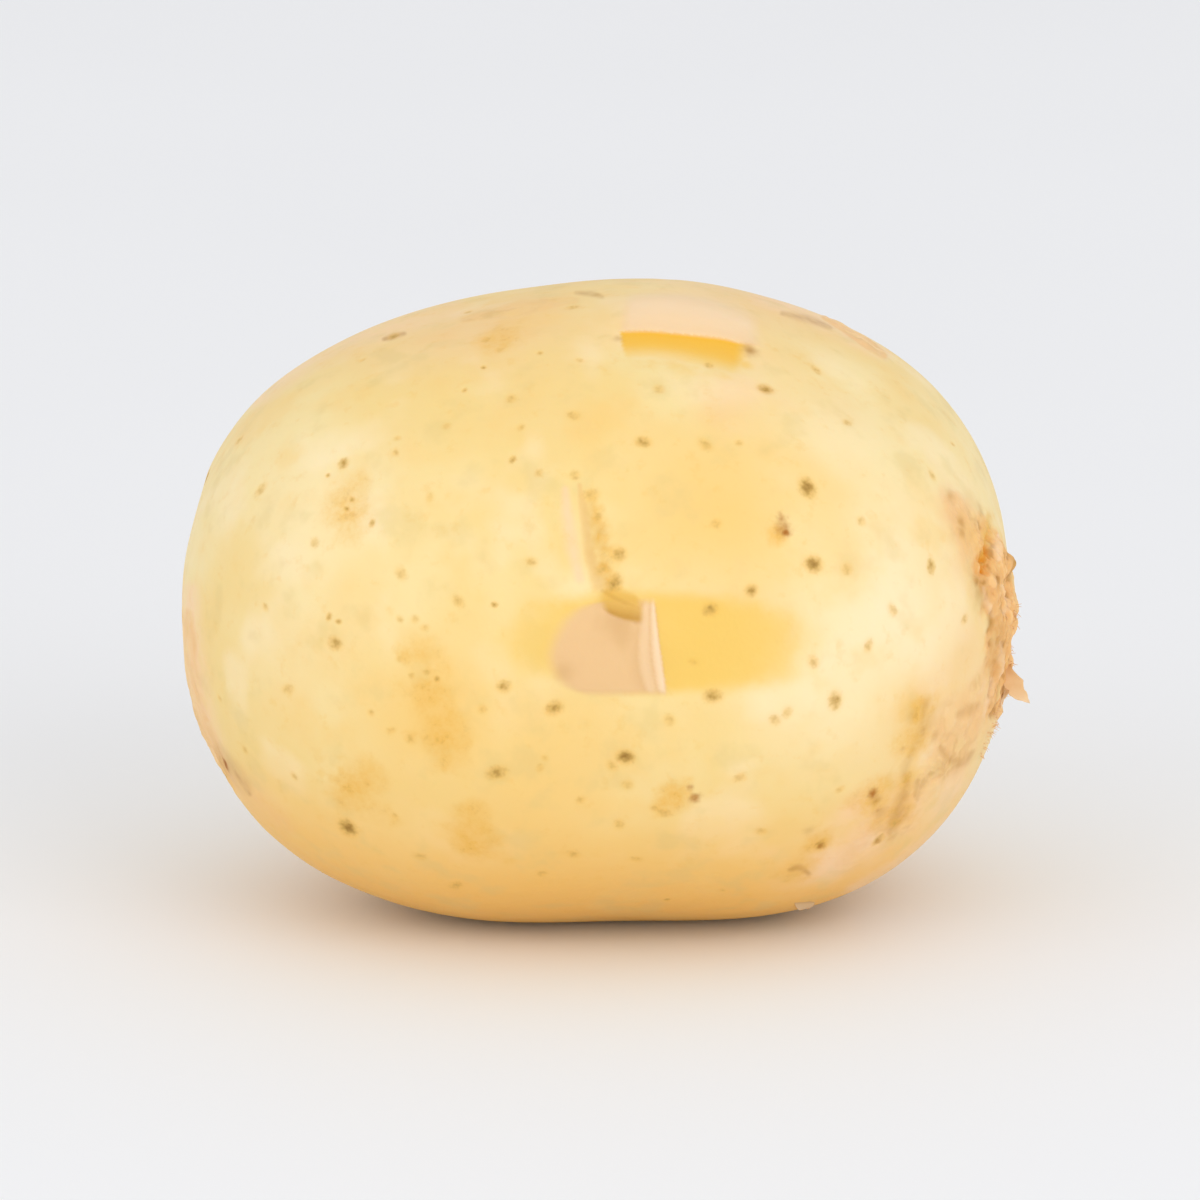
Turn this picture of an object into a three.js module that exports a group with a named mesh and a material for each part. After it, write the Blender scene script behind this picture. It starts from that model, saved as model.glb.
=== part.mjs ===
// A whole washed early potato lying on its side, in millimetres with +Z up.
// Its long axis runs along X, with the stem end at +X and the bud end at -X, and its front faces -Y.
// The origin is on the surface that it lies on, below the middle of its box.

import * as THREE from "three";
import { mergeVertices } from "three/addons/utils/BufferGeometryUtils.js";

// Half sizes of the tuber, measured from the section where it is thickest.
const BUD_HALF_LENGTH = 39;
const STEM_HALF_LENGTH = 32.6;
const FRONT_HALF_WIDTH = 29.5;
const BACK_HALF_WIDTH = 30;
const TOP_HALF_HEIGHT = 26.4;
const BOTTOM_HALF_HEIGHT = 27;

// Bluntness of the outlines: 2 is an ellipse, and more is squarer.
const LENGTH_BLUNTNESS = 2.4;
const GIRTH_BLUNTNESS = 2.15;

// Depth by which the underside is pressed flat where it lies.
const REST_DEPTH = 0.45;

// Splits of each edge of the starting icosahedron, which leave facets about 2 mm wide.
const EDGE_SPLITS = 19;

// A place on the skin is given by two angles in degrees: fromStem, measured from the stem end, and
// around, measured round the long axis, where 0 faces the front and 90 faces up.

// Broad swellings, which are hollows where the height is negative. The spread is an angle.
const SWELLINGS = [
  { name: "crown", fromStem: 87, around: 85, spread: 29, height: 1.4 },
  { name: "stem shoulder", fromStem: 50, around: 68, spread: 29, height: -1.4 },
  { name: "bud belly", fromStem: 130, around: -60, spread: 30, height: 1.9 },
  { name: "stem belly", fromStem: 55, around: -68, spread: 27, height: 1.3 },
  { name: "back cheek", fromStem: 65, around: 200, spread: 30, height: 1 },
  { name: "back hollow", fromStem: 112, around: 160, spread: 24, height: -0.9 },
];

// The eyes climb in a spiral from the stem end and crowd together at the bud end.
const EYE_COUNT = 9;
const EYE_TURN = 137.5;
const EYE_FIRST = { fromStem: 50, around: 66 };
const EYE_LAST_FROM_STEM = 168;
const EYE_CROWDING = 0.75;
const EYE_LENGTH = 5;
const EYE_WIDTH = 7.5;
const EYE_DEPTH = 0.5;
const BROW_HEIGHT = 0.2;

// The scar where the tuber broke off its stolon: a knobbly raised ring round a pit.
const SCAR = { fromStem: 16, around: 14 };
const SCAR_RING_RADIUS = 3;
const SCAR_RING_BREADTH = 1.6;
const SCAR_RING_HEIGHT = 0.9;
const SCAR_PIT_DEPTH = 0.6;
const SCAR_KNOBS = 3;
const SCAR_KNOB_SHARE = 0.35;

// Places where the thin skin is rubbed off the flesh, and the skin that is rolled up beside them.
// Length runs along the tuber and width round it. A bare place is sunk, so its height is negative.
const SCUFFS = [
  { name: "front bare flesh", fromStem: 86, around: 8, length: 25, width: 9, height: -0.4 },
  { name: "front rolled skin", fromStem: 95, around: 6, length: 10, width: 7.5, height: 0.9 },
  { name: "top bare flesh", fromStem: 81, around: 64, length: 13, width: 5.5, height: -0.4 },
  { name: "top rolled skin", fromStem: 81, around: 76, length: 12, width: 6, height: 0.5 },
];
const SCUFF_SQUARENESS = 3;
const SCUFF_EDGE = { inner: 0.7, outer: 1.2 };

// The tear that runs down from the crown to the rolled skin at the front.
const TEAR = { fromStem: 97, around: 26, length: 13, width: 2.8, depth: 0.5 };

const SKIN_COLOUR = 0xf2d48a;
const SKIN_ROUGHNESS = 0.55;

const { degToRad: radians, lerp, smoothstep } = THREE.MathUtils;

/** Unit vector from the tuber's middle towards a place on the skin. */
function towards({ fromStem, around }) {
  const polar = radians(fromStem);
  const turn = radians(around);
  return new THREE.Vector3(
    Math.cos(polar),
    -Math.sin(polar) * Math.cos(turn),
    Math.sin(polar) * Math.sin(turn),
  );
}

/** A bell of height 1 that falls away over the given breadth. */
function bell(distance, breadth) {
  return Math.exp(-((distance / breadth) ** 2));
}

/** Distance from the middle to the smooth skin, without its marks, in a direction. */
function bodyRadius(direction) {
  const { x, y, z } = direction;
  const along = Math.abs(x) / (x < 0 ? BUD_HALF_LENGTH : STEM_HALF_LENGTH);
  const across = Math.abs(y) / (y < 0 ? FRONT_HALF_WIDTH : BACK_HALF_WIDTH);
  const upright = Math.abs(z) / (z < 0 ? BOTTOM_HALF_HEIGHT : TOP_HALF_HEIGHT);
  const girth = (across ** GIRTH_BLUNTNESS + upright ** GIRTH_BLUNTNESS) ** (1 / GIRTH_BLUNTNESS);
  const radius = (along ** LENGTH_BLUNTNESS + girth ** LENGTH_BLUNTNESS) ** (-1 / LENGTH_BLUNTNESS);
  return SWELLINGS.reduce((sum, swelling) => {
    const apart = direction.angleTo(towards(swelling));
    return sum + swelling.height * bell(apart, radians(swelling.spread));
  }, radius);
}

/**
 * A mark on the skin at a place. Its relief is given on a flat map of the skin round the place, by the
 * distances along the tuber and round it, and it stays on its own side of the tuber.
 */
function markAt(place, relief) {
  const pole = towards(place);
  const centre = pole.clone().multiplyScalar(bodyRadius(pole));
  const turn = radians(place.around);
  const round = new THREE.Vector3(0, Math.sin(turn), Math.cos(turn));
  const along = new THREE.Vector3().crossVectors(round, pole);
  return (point) => {
    if (point.dot(pole) < 0) return 0;
    const offset = point.clone().sub(centre);
    return relief(offset.dot(along), offset.dot(round));
  };
}

/** One eye: a shallow dimple with a brow on its stem side. */
function eye(place) {
  return markAt(place, (along, round) => {
    const dimple = bell(along, EYE_LENGTH / 2);
    const brow = bell(along - EYE_LENGTH / 2, EYE_LENGTH / 3);
    return bell(round, EYE_WIDTH / 2) * (BROW_HEIGHT * brow - EYE_DEPTH * dimple);
  });
}

/** The stolon scar: its knobbly ring and its pit. */
function stolonScar() {
  return markAt(SCAR, (along, round) => {
    const distance = Math.hypot(along, round);
    const knobs = 1 + SCAR_KNOB_SHARE * Math.cos(SCAR_KNOBS * Math.atan2(round, along));
    const ring = SCAR_RING_HEIGHT * knobs * bell(distance - SCAR_RING_RADIUS, SCAR_RING_BREADTH);
    return ring - SCAR_PIT_DEPTH * bell(distance, SCAR_RING_RADIUS - SCAR_RING_BREADTH);
  });
}

/** A rubbed place: a patch with round corners and a soft edge. */
function scuff(place) {
  return markAt(place, (along, round) => {
    const rim =
      (Math.abs((2 * along) / place.length) ** SCUFF_SQUARENESS +
        Math.abs((2 * round) / place.width) ** SCUFF_SQUARENESS) **
      (1 / SCUFF_SQUARENESS);
    return place.height * (1 - smoothstep(rim, SCUFF_EDGE.inner, SCUFF_EDGE.outer));
  });
}

/** The tear: a groove whose lip stands up on the bud side. */
function tear() {
  return markAt(TEAR, (along, round) => {
    const groove = bell(along, TEAR.width / 2);
    const lip = bell(along + TEAR.width, TEAR.width / 2);
    return TEAR.depth * bell(round, TEAR.length / 2) * (lip - groove);
  });
}

/** The places of the eyes along their spiral. */
function eyePlaces() {
  return Array.from({ length: EYE_COUNT }, (_, index) => {
    const share = (index / (EYE_COUNT - 1)) ** EYE_CROWDING;
    return {
      fromStem: lerp(EYE_FIRST.fromStem, EYE_LAST_FROM_STEM, share),
      around: EYE_FIRST.around + index * EYE_TURN,
    };
  });
}

/** The closed skin: a sphere of even facets drawn out to the tuber's form, with its marks raised from it. */
function tuberGeometry() {
  const sphere = new THREE.IcosahedronGeometry(1, EDGE_SPLITS);
  sphere.deleteAttribute("normal");
  sphere.deleteAttribute("uv");
  const skin = mergeVertices(sphere);

  const marks = [...eyePlaces().map(eye), ...SCUFFS.map(scuff), stolonScar(), tear()];
  const position = skin.getAttribute("position");
  const direction = new THREE.Vector3();
  const point = new THREE.Vector3();
  for (let i = 0; i < position.count; i++) {
    direction.fromBufferAttribute(position, i).normalize();
    point.copy(direction).multiplyScalar(bodyRadius(direction));
    const relief = marks.reduce((sum, mark) => sum + mark(point), 0);
    point.addScaledVector(direction, relief);
    position.setXYZ(i, point.x, point.y, point.z);
  }

  skin.computeBoundingBox();
  const middle = skin.boundingBox.getCenter(new THREE.Vector3());
  const floor = skin.boundingBox.min.z + REST_DEPTH;
  for (let i = 0; i < position.count; i++) {
    position.setZ(i, Math.max(position.getZ(i), floor));
  }
  skin.translate(-middle.x, -middle.y, -floor);
  skin.computeVertexNormals();
  return skin;
}

const skinMaterial = new THREE.MeshStandardMaterial({
  color: SKIN_COLOUR,
  roughness: SKIN_ROUGHNESS,
  metalness: 0,
});

const tuber = new THREE.Mesh(tuberGeometry(), skinMaterial);
tuber.name = "tuber";

const potato = new THREE.Group();
potato.add(tuber);

export default potato;
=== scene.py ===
"""Looks of a whole washed potato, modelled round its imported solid.

Lengths are in metres, and MM turns millimetres into them. A pixel is a place in the photograph's frame of
1200 by 1200 pixels. Shares run from 0 to 1.
"""

import logging
import math
from collections.abc import Iterable
from dataclasses import dataclass, field
from enum import Enum

import bpy
import numpy as np
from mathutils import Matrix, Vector, noise
from mathutils.bvhtree import BVHTree
from mathutils.kdtree import KDTree


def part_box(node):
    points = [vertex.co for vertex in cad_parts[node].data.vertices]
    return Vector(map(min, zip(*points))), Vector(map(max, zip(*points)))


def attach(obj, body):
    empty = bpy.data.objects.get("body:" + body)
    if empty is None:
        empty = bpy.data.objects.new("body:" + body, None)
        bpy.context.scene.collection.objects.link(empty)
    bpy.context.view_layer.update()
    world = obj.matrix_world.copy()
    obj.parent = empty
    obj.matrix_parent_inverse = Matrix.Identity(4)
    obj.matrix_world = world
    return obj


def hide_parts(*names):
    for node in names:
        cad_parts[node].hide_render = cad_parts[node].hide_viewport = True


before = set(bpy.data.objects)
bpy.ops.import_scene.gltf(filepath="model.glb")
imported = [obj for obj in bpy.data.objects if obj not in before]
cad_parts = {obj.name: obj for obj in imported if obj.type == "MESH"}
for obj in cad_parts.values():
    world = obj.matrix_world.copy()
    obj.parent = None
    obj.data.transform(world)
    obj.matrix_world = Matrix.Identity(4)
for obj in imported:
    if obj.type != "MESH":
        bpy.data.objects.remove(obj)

MM = 0.001
BODY = "root"
NODE = "tuber"

Pixel = tuple[float, float]
Profile = tuple[tuple[float, float], ...]
Spots = list[tuple[np.ndarray, float]]
Chart = tuple[np.ndarray, np.ndarray, np.ndarray]
Spot = tuple[float, float, float]
Colour = tuple[float, float, float, float]
Socket = bpy.types.NodeSocket

# A Mix node's first and second input and its output, by what it mixes.
MIX_SOCKETS = {"RGBA": (6, 7, 2), "FLOAT": (2, 3, 0)}

# How many of its widths from a lenticel the mesh is split once, and then again.
FINE_WIDTHS = 1.0
FINEST_WIDTHS = 0.55

# How fast the finer noises in a ripple weaken, and how much finer each is than the last.
RIPPLE_FALL = 0.8
RIPPLE_FINER = 2.1

# The share that loose skin keeps of how near its tip each point is.
TIP = "tip"

log = logging.getLogger("potato")


class Mark(Enum):
    """What the skin carries, each kept as a share at every point of the mesh."""

    CORK = "cork"
    FLESH = "flesh"
    TORN = "torn"
    SCUFF = "scuff"
    STAIN = "stain"
    PALE = "pale"
    GOLD = "gold"
    PEACH = "peach"
    BLUSH = "blush"
    SCAR = "scar"
    # The scar's orange pith, and painted shade that deepens the bare flesh under the top flap.
    PIT = "pit"
    STREAK = "streak"
    ROUGH = "rough"
    RUST = "rust"
    FLAP = "flap"
    CURL = "curl"
    FOLD = "fold"
    # Brown specks and lines, and painted shade in and under the front curl and along the front flap's fold.
    SHADE = "shade"


def paint(code: str) -> Colour:
    """Turns a screen colour into the linear colour that a shader takes.

    Args:
        code: The colour as six hexadecimal digits.

    Returns:
        Linear red, green and blue, with full alpha.
    """
    shares = [int(code[i : i + 2], 16) / 255 for i in (0, 2, 4)]
    linear = [s / 12.92 if s <= 0.04045 else ((s + 0.055) / 1.055) ** 2.4 for s in shares]
    return (*linear, 1.0)


def smooth_step(value: np.ndarray, low: float, high: float) -> np.ndarray:
    """Rises smoothly from 0 at low to 1 at high, or falls where low is the larger."""
    share = np.clip((value - low) / (high - low), 0, 1)
    return share * share * (3 - 2 * share)


def bell(value: np.ndarray, breadth: float) -> np.ndarray:
    """A bell of height 1 that falls away over the given breadth."""
    return np.exp(-((value / breadth) ** 2))


def along_curve(points: np.ndarray, shares: np.ndarray) -> np.ndarray:
    """Places on a smooth curve that runs through points.

    Args:
        points: The points, a row each.
        shares: How far along the curve each place is.

    Returns:
        The places, a row each.
    """
    points = np.asarray(points, float)
    padded = np.vstack([2 * points[0] - points[1], points, 2 * points[-1] - points[-2]])
    steps = np.clip(shares, 0, 1) * (len(points) - 1)
    index = np.minimum(steps.astype(int), len(points) - 2)
    t = (steps - index)[:, None]
    before, start, end, after = (padded[index + i] for i in range(4))
    return 0.5 * (
        2 * start
        + (end - before) * t
        + (2 * before - 5 * start + 4 * end - after) * t**2
        + (3 * start - before - 3 * end + after) * t**3
    )


def between(profile: Profile, way: np.ndarray) -> np.ndarray:
    """Values along a way, between the ones that a profile gives."""
    return np.interp(way, [knot[0] for knot in profile], [knot[1] for knot in profile])


def ripple(points: np.ndarray, size: float, octaves: int = 3) -> np.ndarray:
    """Even noise of about -1 to 1 at points.

    Args:
        points: The points, a row each.
        size: Distance between its larger bumps.
        octaves: How many finer noises are added to it.

    Returns:
        The noise at each point.
    """
    scaled = points / size
    return np.array([noise.fractal(Vector(p), RIPPLE_FALL, RIPPLE_FINER, octaves) for p in scaled])


def take_alone(piece: bpy.types.Object) -> None:
    """Selects one object and makes it the active one.

    Args:
        piece: The object.
    """
    bpy.ops.object.select_all(action="DESELECT")
    piece.select_set(True)
    bpy.context.view_layer.objects.active = piece


def modify(piece: bpy.types.Object, kind: str, **settings: object) -> None:
    """Adds a modifier to an object and applies it.

    Args:
        piece: The object.
        kind: The modifier's type.
        settings: Its settings by name.
    """
    take_alone(piece)
    modifier = piece.modifiers.new(kind.lower(), kind)
    for name, value in settings.items():
        setattr(modifier, name, value)
    bpy.ops.object.modifier_apply(modifier=modifier.name)


def read_points(mesh: bpy.types.Mesh) -> np.ndarray:
    """Reads where a mesh's vertices are.

    Args:
        mesh: The mesh.

    Returns:
        The vertices' places, a row each.
    """
    flat = np.empty(len(mesh.vertices) * 3, np.float32)
    mesh.vertices.foreach_get("co", flat)
    return flat.reshape(-1, 3).astype(float)


def write_points(mesh: bpy.types.Mesh, points: np.ndarray) -> None:
    """Moves a mesh's vertices to new places, a row each."""
    mesh.vertices.foreach_set("co", points.astype(np.float32).ravel())
    mesh.update()


def write_share(mesh: bpy.types.Mesh, name: str, shares: np.ndarray) -> None:
    """Stores a share at each vertex of a mesh, for its material to read."""
    layer = mesh.attributes.get(name) or mesh.attributes.new(name, "FLOAT", "POINT")
    layer.data.foreach_set("value", shares.astype(np.float32))


class Graph:
    """A material's nodes, added from its textures to its shader."""

    def __init__(self, name: str) -> None:
        """Starts a material.

        Args:
            name: The material's name.
        """
        self.material = bpy.data.materials.new(name)
        self.material.use_nodes = True
        self.tree = self.material.node_tree
        self.shader = self.tree.nodes["Principled BSDF"]
        self.coordinates = self.add("ShaderNodeTexCoord").outputs["Object"]

    def add(self, kind: str, **settings: object) -> bpy.types.Node:
        """Adds a node.

        Args:
            kind: The node's type.
            settings: Its settings by name.

        Returns:
            The node.
        """
        node = self.tree.nodes.new(kind)
        for name, value in settings.items():
            setattr(node, name, value)
        return node

    def feed(self, socket: Socket, value: object) -> None:
        """Links an input to another node's output, or sets its value.

        Args:
            socket: The input.
            value: The output or the value.
        """
        if isinstance(value, Socket):
            self.tree.links.new(value, socket)
        else:
            socket.default_value = value

    def wire(self, node: bpy.types.Node, **inputs: object) -> None:
        """Feeds a node's inputs, by their names with _ for a space."""
        for name, value in inputs.items():
            self.feed(node.inputs[name.replace("_", " ")], value)

    def noise(self, size: float, detail: float = 3.0, roughness: float = 0.5, offset: float = 0.0) -> Socket:
        """Even noise over the piece.

        Args:
            size: Distance between its larger bumps.
            detail: How many finer noises are added to it.
            roughness: How strong the finer ones are.
            offset: A shift that makes it unlike other noise of its size.

        Returns:
            The noise, from 0 to 1.
        """
        mapping = self.add("ShaderNodeMapping")
        self.wire(mapping, Vector=self.coordinates, Location=[offset] * 3, Scale=[1 / size] * 3)
        texture = self.add("ShaderNodeTexNoise")
        self.wire(texture, Vector=mapping.outputs["Vector"], Scale=1.0, Detail=detail, Roughness=roughness)
        return texture.outputs["Fac"]

    def share(self, mark: str) -> Socket:
        """The share of a mark that the mesh keeps at each point."""
        return self.add("ShaderNodeAttribute", attribute_name=mark).outputs["Fac"]

    def math(self, operation: str, first: object, second: object) -> Socket:
        """Puts two numbers together.

        Args:
            operation: The Math node's operation.
            first: The first number.
            second: The second number.

        Returns:
            The result.
        """
        node = self.add("ShaderNodeMath", operation=operation)
        self.feed(node.inputs[0], first)
        self.feed(node.inputs[1], second)
        return node.outputs[0]

    def plus(self, first: object, second: object) -> Socket:
        """The sum of two numbers."""
        return self.math("ADD", first, second)

    def times(self, first: object, second: object) -> Socket:
        """The product of two numbers."""
        return self.math("MULTIPLY", first, second)

    def centred(self, value: Socket) -> Socket:
        """A noise moved so that its middle is 0."""
        return self.math("SUBTRACT", value, 0.5)

    def step(self, value: object, low: float, high: float, top: float = 1.0) -> Socket:
        """Rises smoothly from 0 at low to top at high, or falls where low is the larger.

        Args:
            value: The value that it follows.
            low: The value where it starts.
            high: The value where it ends.
            top: What it rises to.

        Returns:
            The result.
        """
        node = self.add("ShaderNodeMapRange", interpolation_type="SMOOTHSTEP")
        self.wire(node, Value=value, From_Min=low, From_Max=high, To_Max=top)
        return node.outputs["Result"]

    def between(self, kind: str, share: object, first: object, second: object) -> Socket:
        """Mixes two values.

        Args:
            kind: What is mixed, a key of MIX_SOCKETS.
            share: The share of the second.
            first: The first value.
            second: The second value.

        Returns:
            The value between them.
        """
        node = self.add("ShaderNodeMix", data_type=kind)
        start, end, result = MIX_SOCKETS[kind]
        for number, value in ((0, share), (start, first), (end, second)):
            self.feed(node.inputs[number], value)
        return node.outputs[result]

    def mix(self, share: object, first: object, second: object) -> Socket:
        """A colour between two, by a share of the second."""
        return self.between("RGBA", share, first, second)

    def blend(self, share: object, first: object, second: object) -> Socket:
        """A number between two, by a share of the second."""
        return self.between("FLOAT", share, first, second)

    def bump(self, height: Socket, depth: float, strength: float) -> Socket:
        """The tilt of the surface under a height from 0 to 1.

        Args:
            height: The height.
            depth: How deep its full range is.
            strength: How much of the tilt shows.

        Returns:
            The tilted normal.
        """
        node = self.add("ShaderNodeBump")
        self.wire(node, Height=height, Distance=depth, Strength=strength)
        return node.outputs["Normal"]

    def finish(
        self, colour: object, roughness: object, normal: Socket, **constants: object
    ) -> bpy.types.Material:
        """Feeds the shader.

        Args:
            colour: The base colour.
            roughness: The roughness.
            normal: The tilted normal.
            constants: Values of other inputs, by name, with _ for a space.

        Returns:
            The material.
        """
        self.wire(self.shader, Base_Color=colour, Roughness=roughness, Normal=normal, **constants)
        return self.material


class SkinGraph(Graph):
    """The skin's nodes, with the noises and the marks that its layers share."""

    def __init__(self, name: str) -> None:
        """Starts the material.

        Args:
            name: The material's name.
        """
        super().__init__(name)
        self.mottle = self.noise(5.5 * MM, detail=3)
        self.grain = self.noise(1.5 * MM, detail=3, roughness=0.6, offset=5.3)
        self.fine = self.noise(0.42 * MM, detail=1)
        self.ragged = self.times(self.centred(self.grain), 0.5)
        self.patchy = self.times(self.centred(self.mottle), 1.4)
        self.speckled = self.times(self.centred(self.fine), 0.6)
        self.on = {mark: self.share(mark.value) for mark in Mark}

    def toned(self, colour: Socket, tones: dict[Mark, Colour]) -> Socket:
        """Lays the tones of some marks over a colour.

        Args:
            colour: The colour under them.
            tones: Each mark's tone, the lowest first.

        Returns:
            The colour with them.
        """
        for mark, tone in tones.items():
            colour = self.mix(self.on[mark], colour, tone)
        return colour


@dataclass(frozen=True)
class SkinFinish:
    """The washed skin, with all that is marked on it."""

    cream: Colour = paint("F3DC9E")
    straw: Colour = paint("F1D38B")
    pale: Colour = paint("FBE7BD")
    gold: Colour = paint("F3CC7C")
    # Painted shade: the deeper, more golden tone towards the bottom.
    underside_shade: Colour = paint("F5C167")
    peach: Colour = paint("F1C48C")
    blush: Colour = paint("F8D2A4")
    flesh: Colour = paint("F0C765")
    torn: Colour = paint("EAC27C")
    flap: Colour = paint("E9C08A")
    curl: Colour = paint("E6B654")
    fold: Colour = paint("F8DAB4")
    # Brown for specks and lines, and also the painted shade of the front curl and flap.
    shade: Colour = paint("AE7620")
    scuff: Colour = paint("EEBE82")
    stain: Colour = paint("EBB650")
    olive: Colour = paint("DCC27E")
    # Painted shade: the bare flesh under the top flap.
    flesh_in_shade: Colour = paint("F2B832")
    cork: Colour = paint("C29A4C")
    dark_cork: Colour = paint("80560F")
    rust: Colour = paint("A8640C")
    scar: Colour = paint("EBB674")
    pith: Colour = paint("E08C12")
    # Painted highlight on the scar's raised fibres and painted shade in its sunk ones.
    ridge_highlight: Colour = paint("FBCC8E")
    hollow_shade: Colour = paint("BA8440")
    fibre: Colour = paint("F8DDB4")
    # Heights between which the painted shade on the underside fades in.
    underside_shade_top: float = 19.5 * MM
    underside_shade_bottom: float = 3 * MM
    smooth: float = 0.4
    grainy: float = 0.56
    moist: float = 0.36
    rough: float = 0.72
    pore_depth: float = 0.22 * MM
    pore_strength: float = 0.5
    gloss: float = 0.28
    glow: float = 0.1
    glow_depth: float = 2 * MM
    glow_tint: tuple[float, float, float] = (1.0, 0.6, 0.2)

    def ground(self, g: SkinGraph) -> Socket:
        """The skin's colour: creamy, with broad tinted areas, and deeper and more golden towards the bottom,
        which is painted shade.

        Args:
            g: The skin's nodes.

        Returns:
            The colour.
        """
        broad = g.step(g.noise(15 * MM, detail=2, offset=2.7), 0.38, 0.62)
        colour = g.mix(broad, self.cream, self.straw)
        clouds = g.noise(8 * MM, detail=2, offset=1.9)
        colour = g.mix(g.step(clouds, 0.52, 0.72, 0.5), colour, self.pale)
        colour = g.mix(g.step(clouds, 0.48, 0.28, 0.5), colour, self.gold)
        tints = {Mark.PALE: self.pale, Mark.GOLD: self.gold, Mark.PEACH: self.peach}
        colour = g.toned(colour, tints)
        # Painted shade: deeper and more golden towards the bottom.
        axes = g.add("ShaderNodeSeparateXYZ")
        g.feed(axes.inputs[0], g.coordinates)
        low = g.step(axes.outputs["Z"], self.underside_shade_top, self.underside_shade_bottom)
        colour = g.mix(low, colour, self.underside_shade)
        return g.toned(colour, {Mark.BLUSH: self.blush})

    def mottled(self, g: SkinGraph, colour: Socket) -> Socket:
        """Lays golden, brown and olive mottling over the skin.

        Args:
            g: The skin's nodes.
            colour: The colour under it.

        Returns:
            The colour with it.
        """
        colour = g.mix(g.step(g.mottle, 0.52, 0.72, 0.35), colour, self.gold)
        colour = g.mix(g.step(g.grain, 0.56, 0.76, 0.2), colour, self.stain)
        clouded = g.noise(3.6 * MM, detail=3, offset=4.4)
        return g.mix(g.step(clouded, 0.52, 0.72, 0.3), colour, self.olive)

    def stained(self, g: SkinGraph, colour: Socket) -> Socket:
        """Lays the stains, which are ragged, patchy and dotted.

        Args:
            g: The skin's nodes.
            colour: The colour under them.

        Returns:
            The colour with them.
        """
        stain = g.on[Mark.STAIN]
        uneven = g.plus(stain, g.plus(g.ragged, g.times(g.patchy, 0.4)))
        cover = g.times(g.step(uneven, 0.0, 0.9), g.step(stain, 0.0, 0.3))
        broken = g.noise(1.1 * MM, detail=4, roughness=0.7, offset=7.7)
        cover = g.times(cover, g.blend(g.step(broken, 0.36, 0.6), 0.65, 1.0))
        colour = g.mix(g.times(cover, 0.85), colour, self.stain)
        dotted = g.times(cover, g.step(broken, 0.57, 0.68, 0.2))
        return g.mix(dotted, colour, self.shade)

    def rubbed(self, g: SkinGraph, colour: Socket, cover: Socket) -> Socket:
        """Lays the rubbed skin, with pale fibres and dark lines.

        Args:
            g: The skin's nodes.
            colour: The colour under it.
            cover: Its share.

        Returns:
            The colour with it.
        """
        edge = g.noise(3.4 * MM, detail=3, roughness=0.55, offset=6.6)
        colour = g.mix(g.times(cover, g.step(edge, 0.8, 0.2, 0.9)), colour, self.scuff)
        colour = g.mix(g.times(cover, g.step(g.grain, 0.54, 0.8, 0.4)), colour, self.fibre)
        lines = g.step(g.math("ABSOLUTE", g.centred(edge), 0.0), 0.09, 0.0)
        lines = g.times(lines, g.step(g.mottle, 0.46, 0.62, 0.2))
        return g.mix(g.times(cover, lines), colour, self.shade)

    def bared(self, g: SkinGraph, colour: Socket, cover: Socket) -> Socket:
        """Lays the torn skin and the bare flesh, which is deeper in tone under the top flap: painted shade.

        Args:
            g: The skin's nodes.
            colour: The colour under them.
            cover: The flesh's share.

        Returns:
            The colour with them.
        """
        torn = g.step(g.plus(g.on[Mark.TORN], g.ragged), 0.2, 0.8)
        colour = g.mix(g.times(torn, 0.8), colour, self.torn)
        colour = g.mix(cover, colour, self.flesh)
        # Painted shade: the flesh is deeper where the top flap overhangs it.
        return g.mix(g.times(g.on[Mark.PIT], cover), colour, self.flesh_in_shade)

    def scarred(self, g: SkinGraph, colour: Socket, cover: Socket) -> Socket:
        """Lays the scar, with its orange pith, paler on its raised fibres and darker in its sunk ones:
        painted highlight and shade.

        Args:
            g: The skin's nodes.
            colour: The colour under it.
            cover: Its share.

        Returns:
            The colour with it.
        """
        streak = g.on[Mark.STREAK]
        # Paler where the fibres are raised and darker where they are sunk: painted highlight and shade that
        # follow the relief.
        wound = g.mix(g.step(streak, 0.55, 0.95, 0.7), self.scar, self.ridge_highlight)
        wound = g.mix(g.step(streak, 0.45, 0.1, 0.8), wound, self.hollow_shade)
        wound = g.mix(g.on[Mark.PIT], wound, self.pith)
        return g.mix(cover, colour, wound)

    def specked(self, g: SkinGraph, colour: Socket, cork: Socket, cover: Socket) -> Socket:
        """Lays the lenticels, dark in the middle and stained round it, and the rusty spots.

        Args:
            g: The skin's nodes.
            colour: The colour under them.
            cork: The speckled share of cork.
            cover: The share that the lenticels cover.

        Returns:
            The colour with them.
        """
        colour = g.mix(g.step(g.on[Mark.CORK], 0.02, 0.4, 0.35), colour, self.stain)
        colour = g.mix(g.times(cover, 0.8), colour, self.cork)
        colour = g.mix(g.step(cork, 0.5, 1.15, 0.75), colour, self.dark_cork)
        rusty = g.step(g.plus(g.on[Mark.RUST], g.times(g.speckled, 0.6)), 0.08, 0.95)
        return g.mix(rusty, colour, self.rust)

    def material(self) -> bpy.types.Material:
        """Makes the material, layer upon layer.

        Returns:
            The material.
        """
        g = SkinGraph("potato_skin")
        rubbed = g.step(g.plus(g.on[Mark.SCUFF], g.times(g.patchy, 0.4)), 0.0, 0.9)
        bare = g.step(g.plus(g.on[Mark.FLESH], g.times(g.ragged, 0.3)), 0.05, 0.95)
        wound = g.step(g.plus(g.on[Mark.SCAR], g.times(g.ragged, 0.6)), 0.05, 0.9)
        cork = g.plus(g.on[Mark.CORK], g.speckled)
        corky = g.step(cork, 0.15, 0.8)

        colour = self.stained(g, self.mottled(g, self.ground(g)))
        colour = self.rubbed(g, colour, rubbed)
        colour = self.bared(g, colour, bare)
        colour = self.scarred(g, colour, wound)
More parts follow.
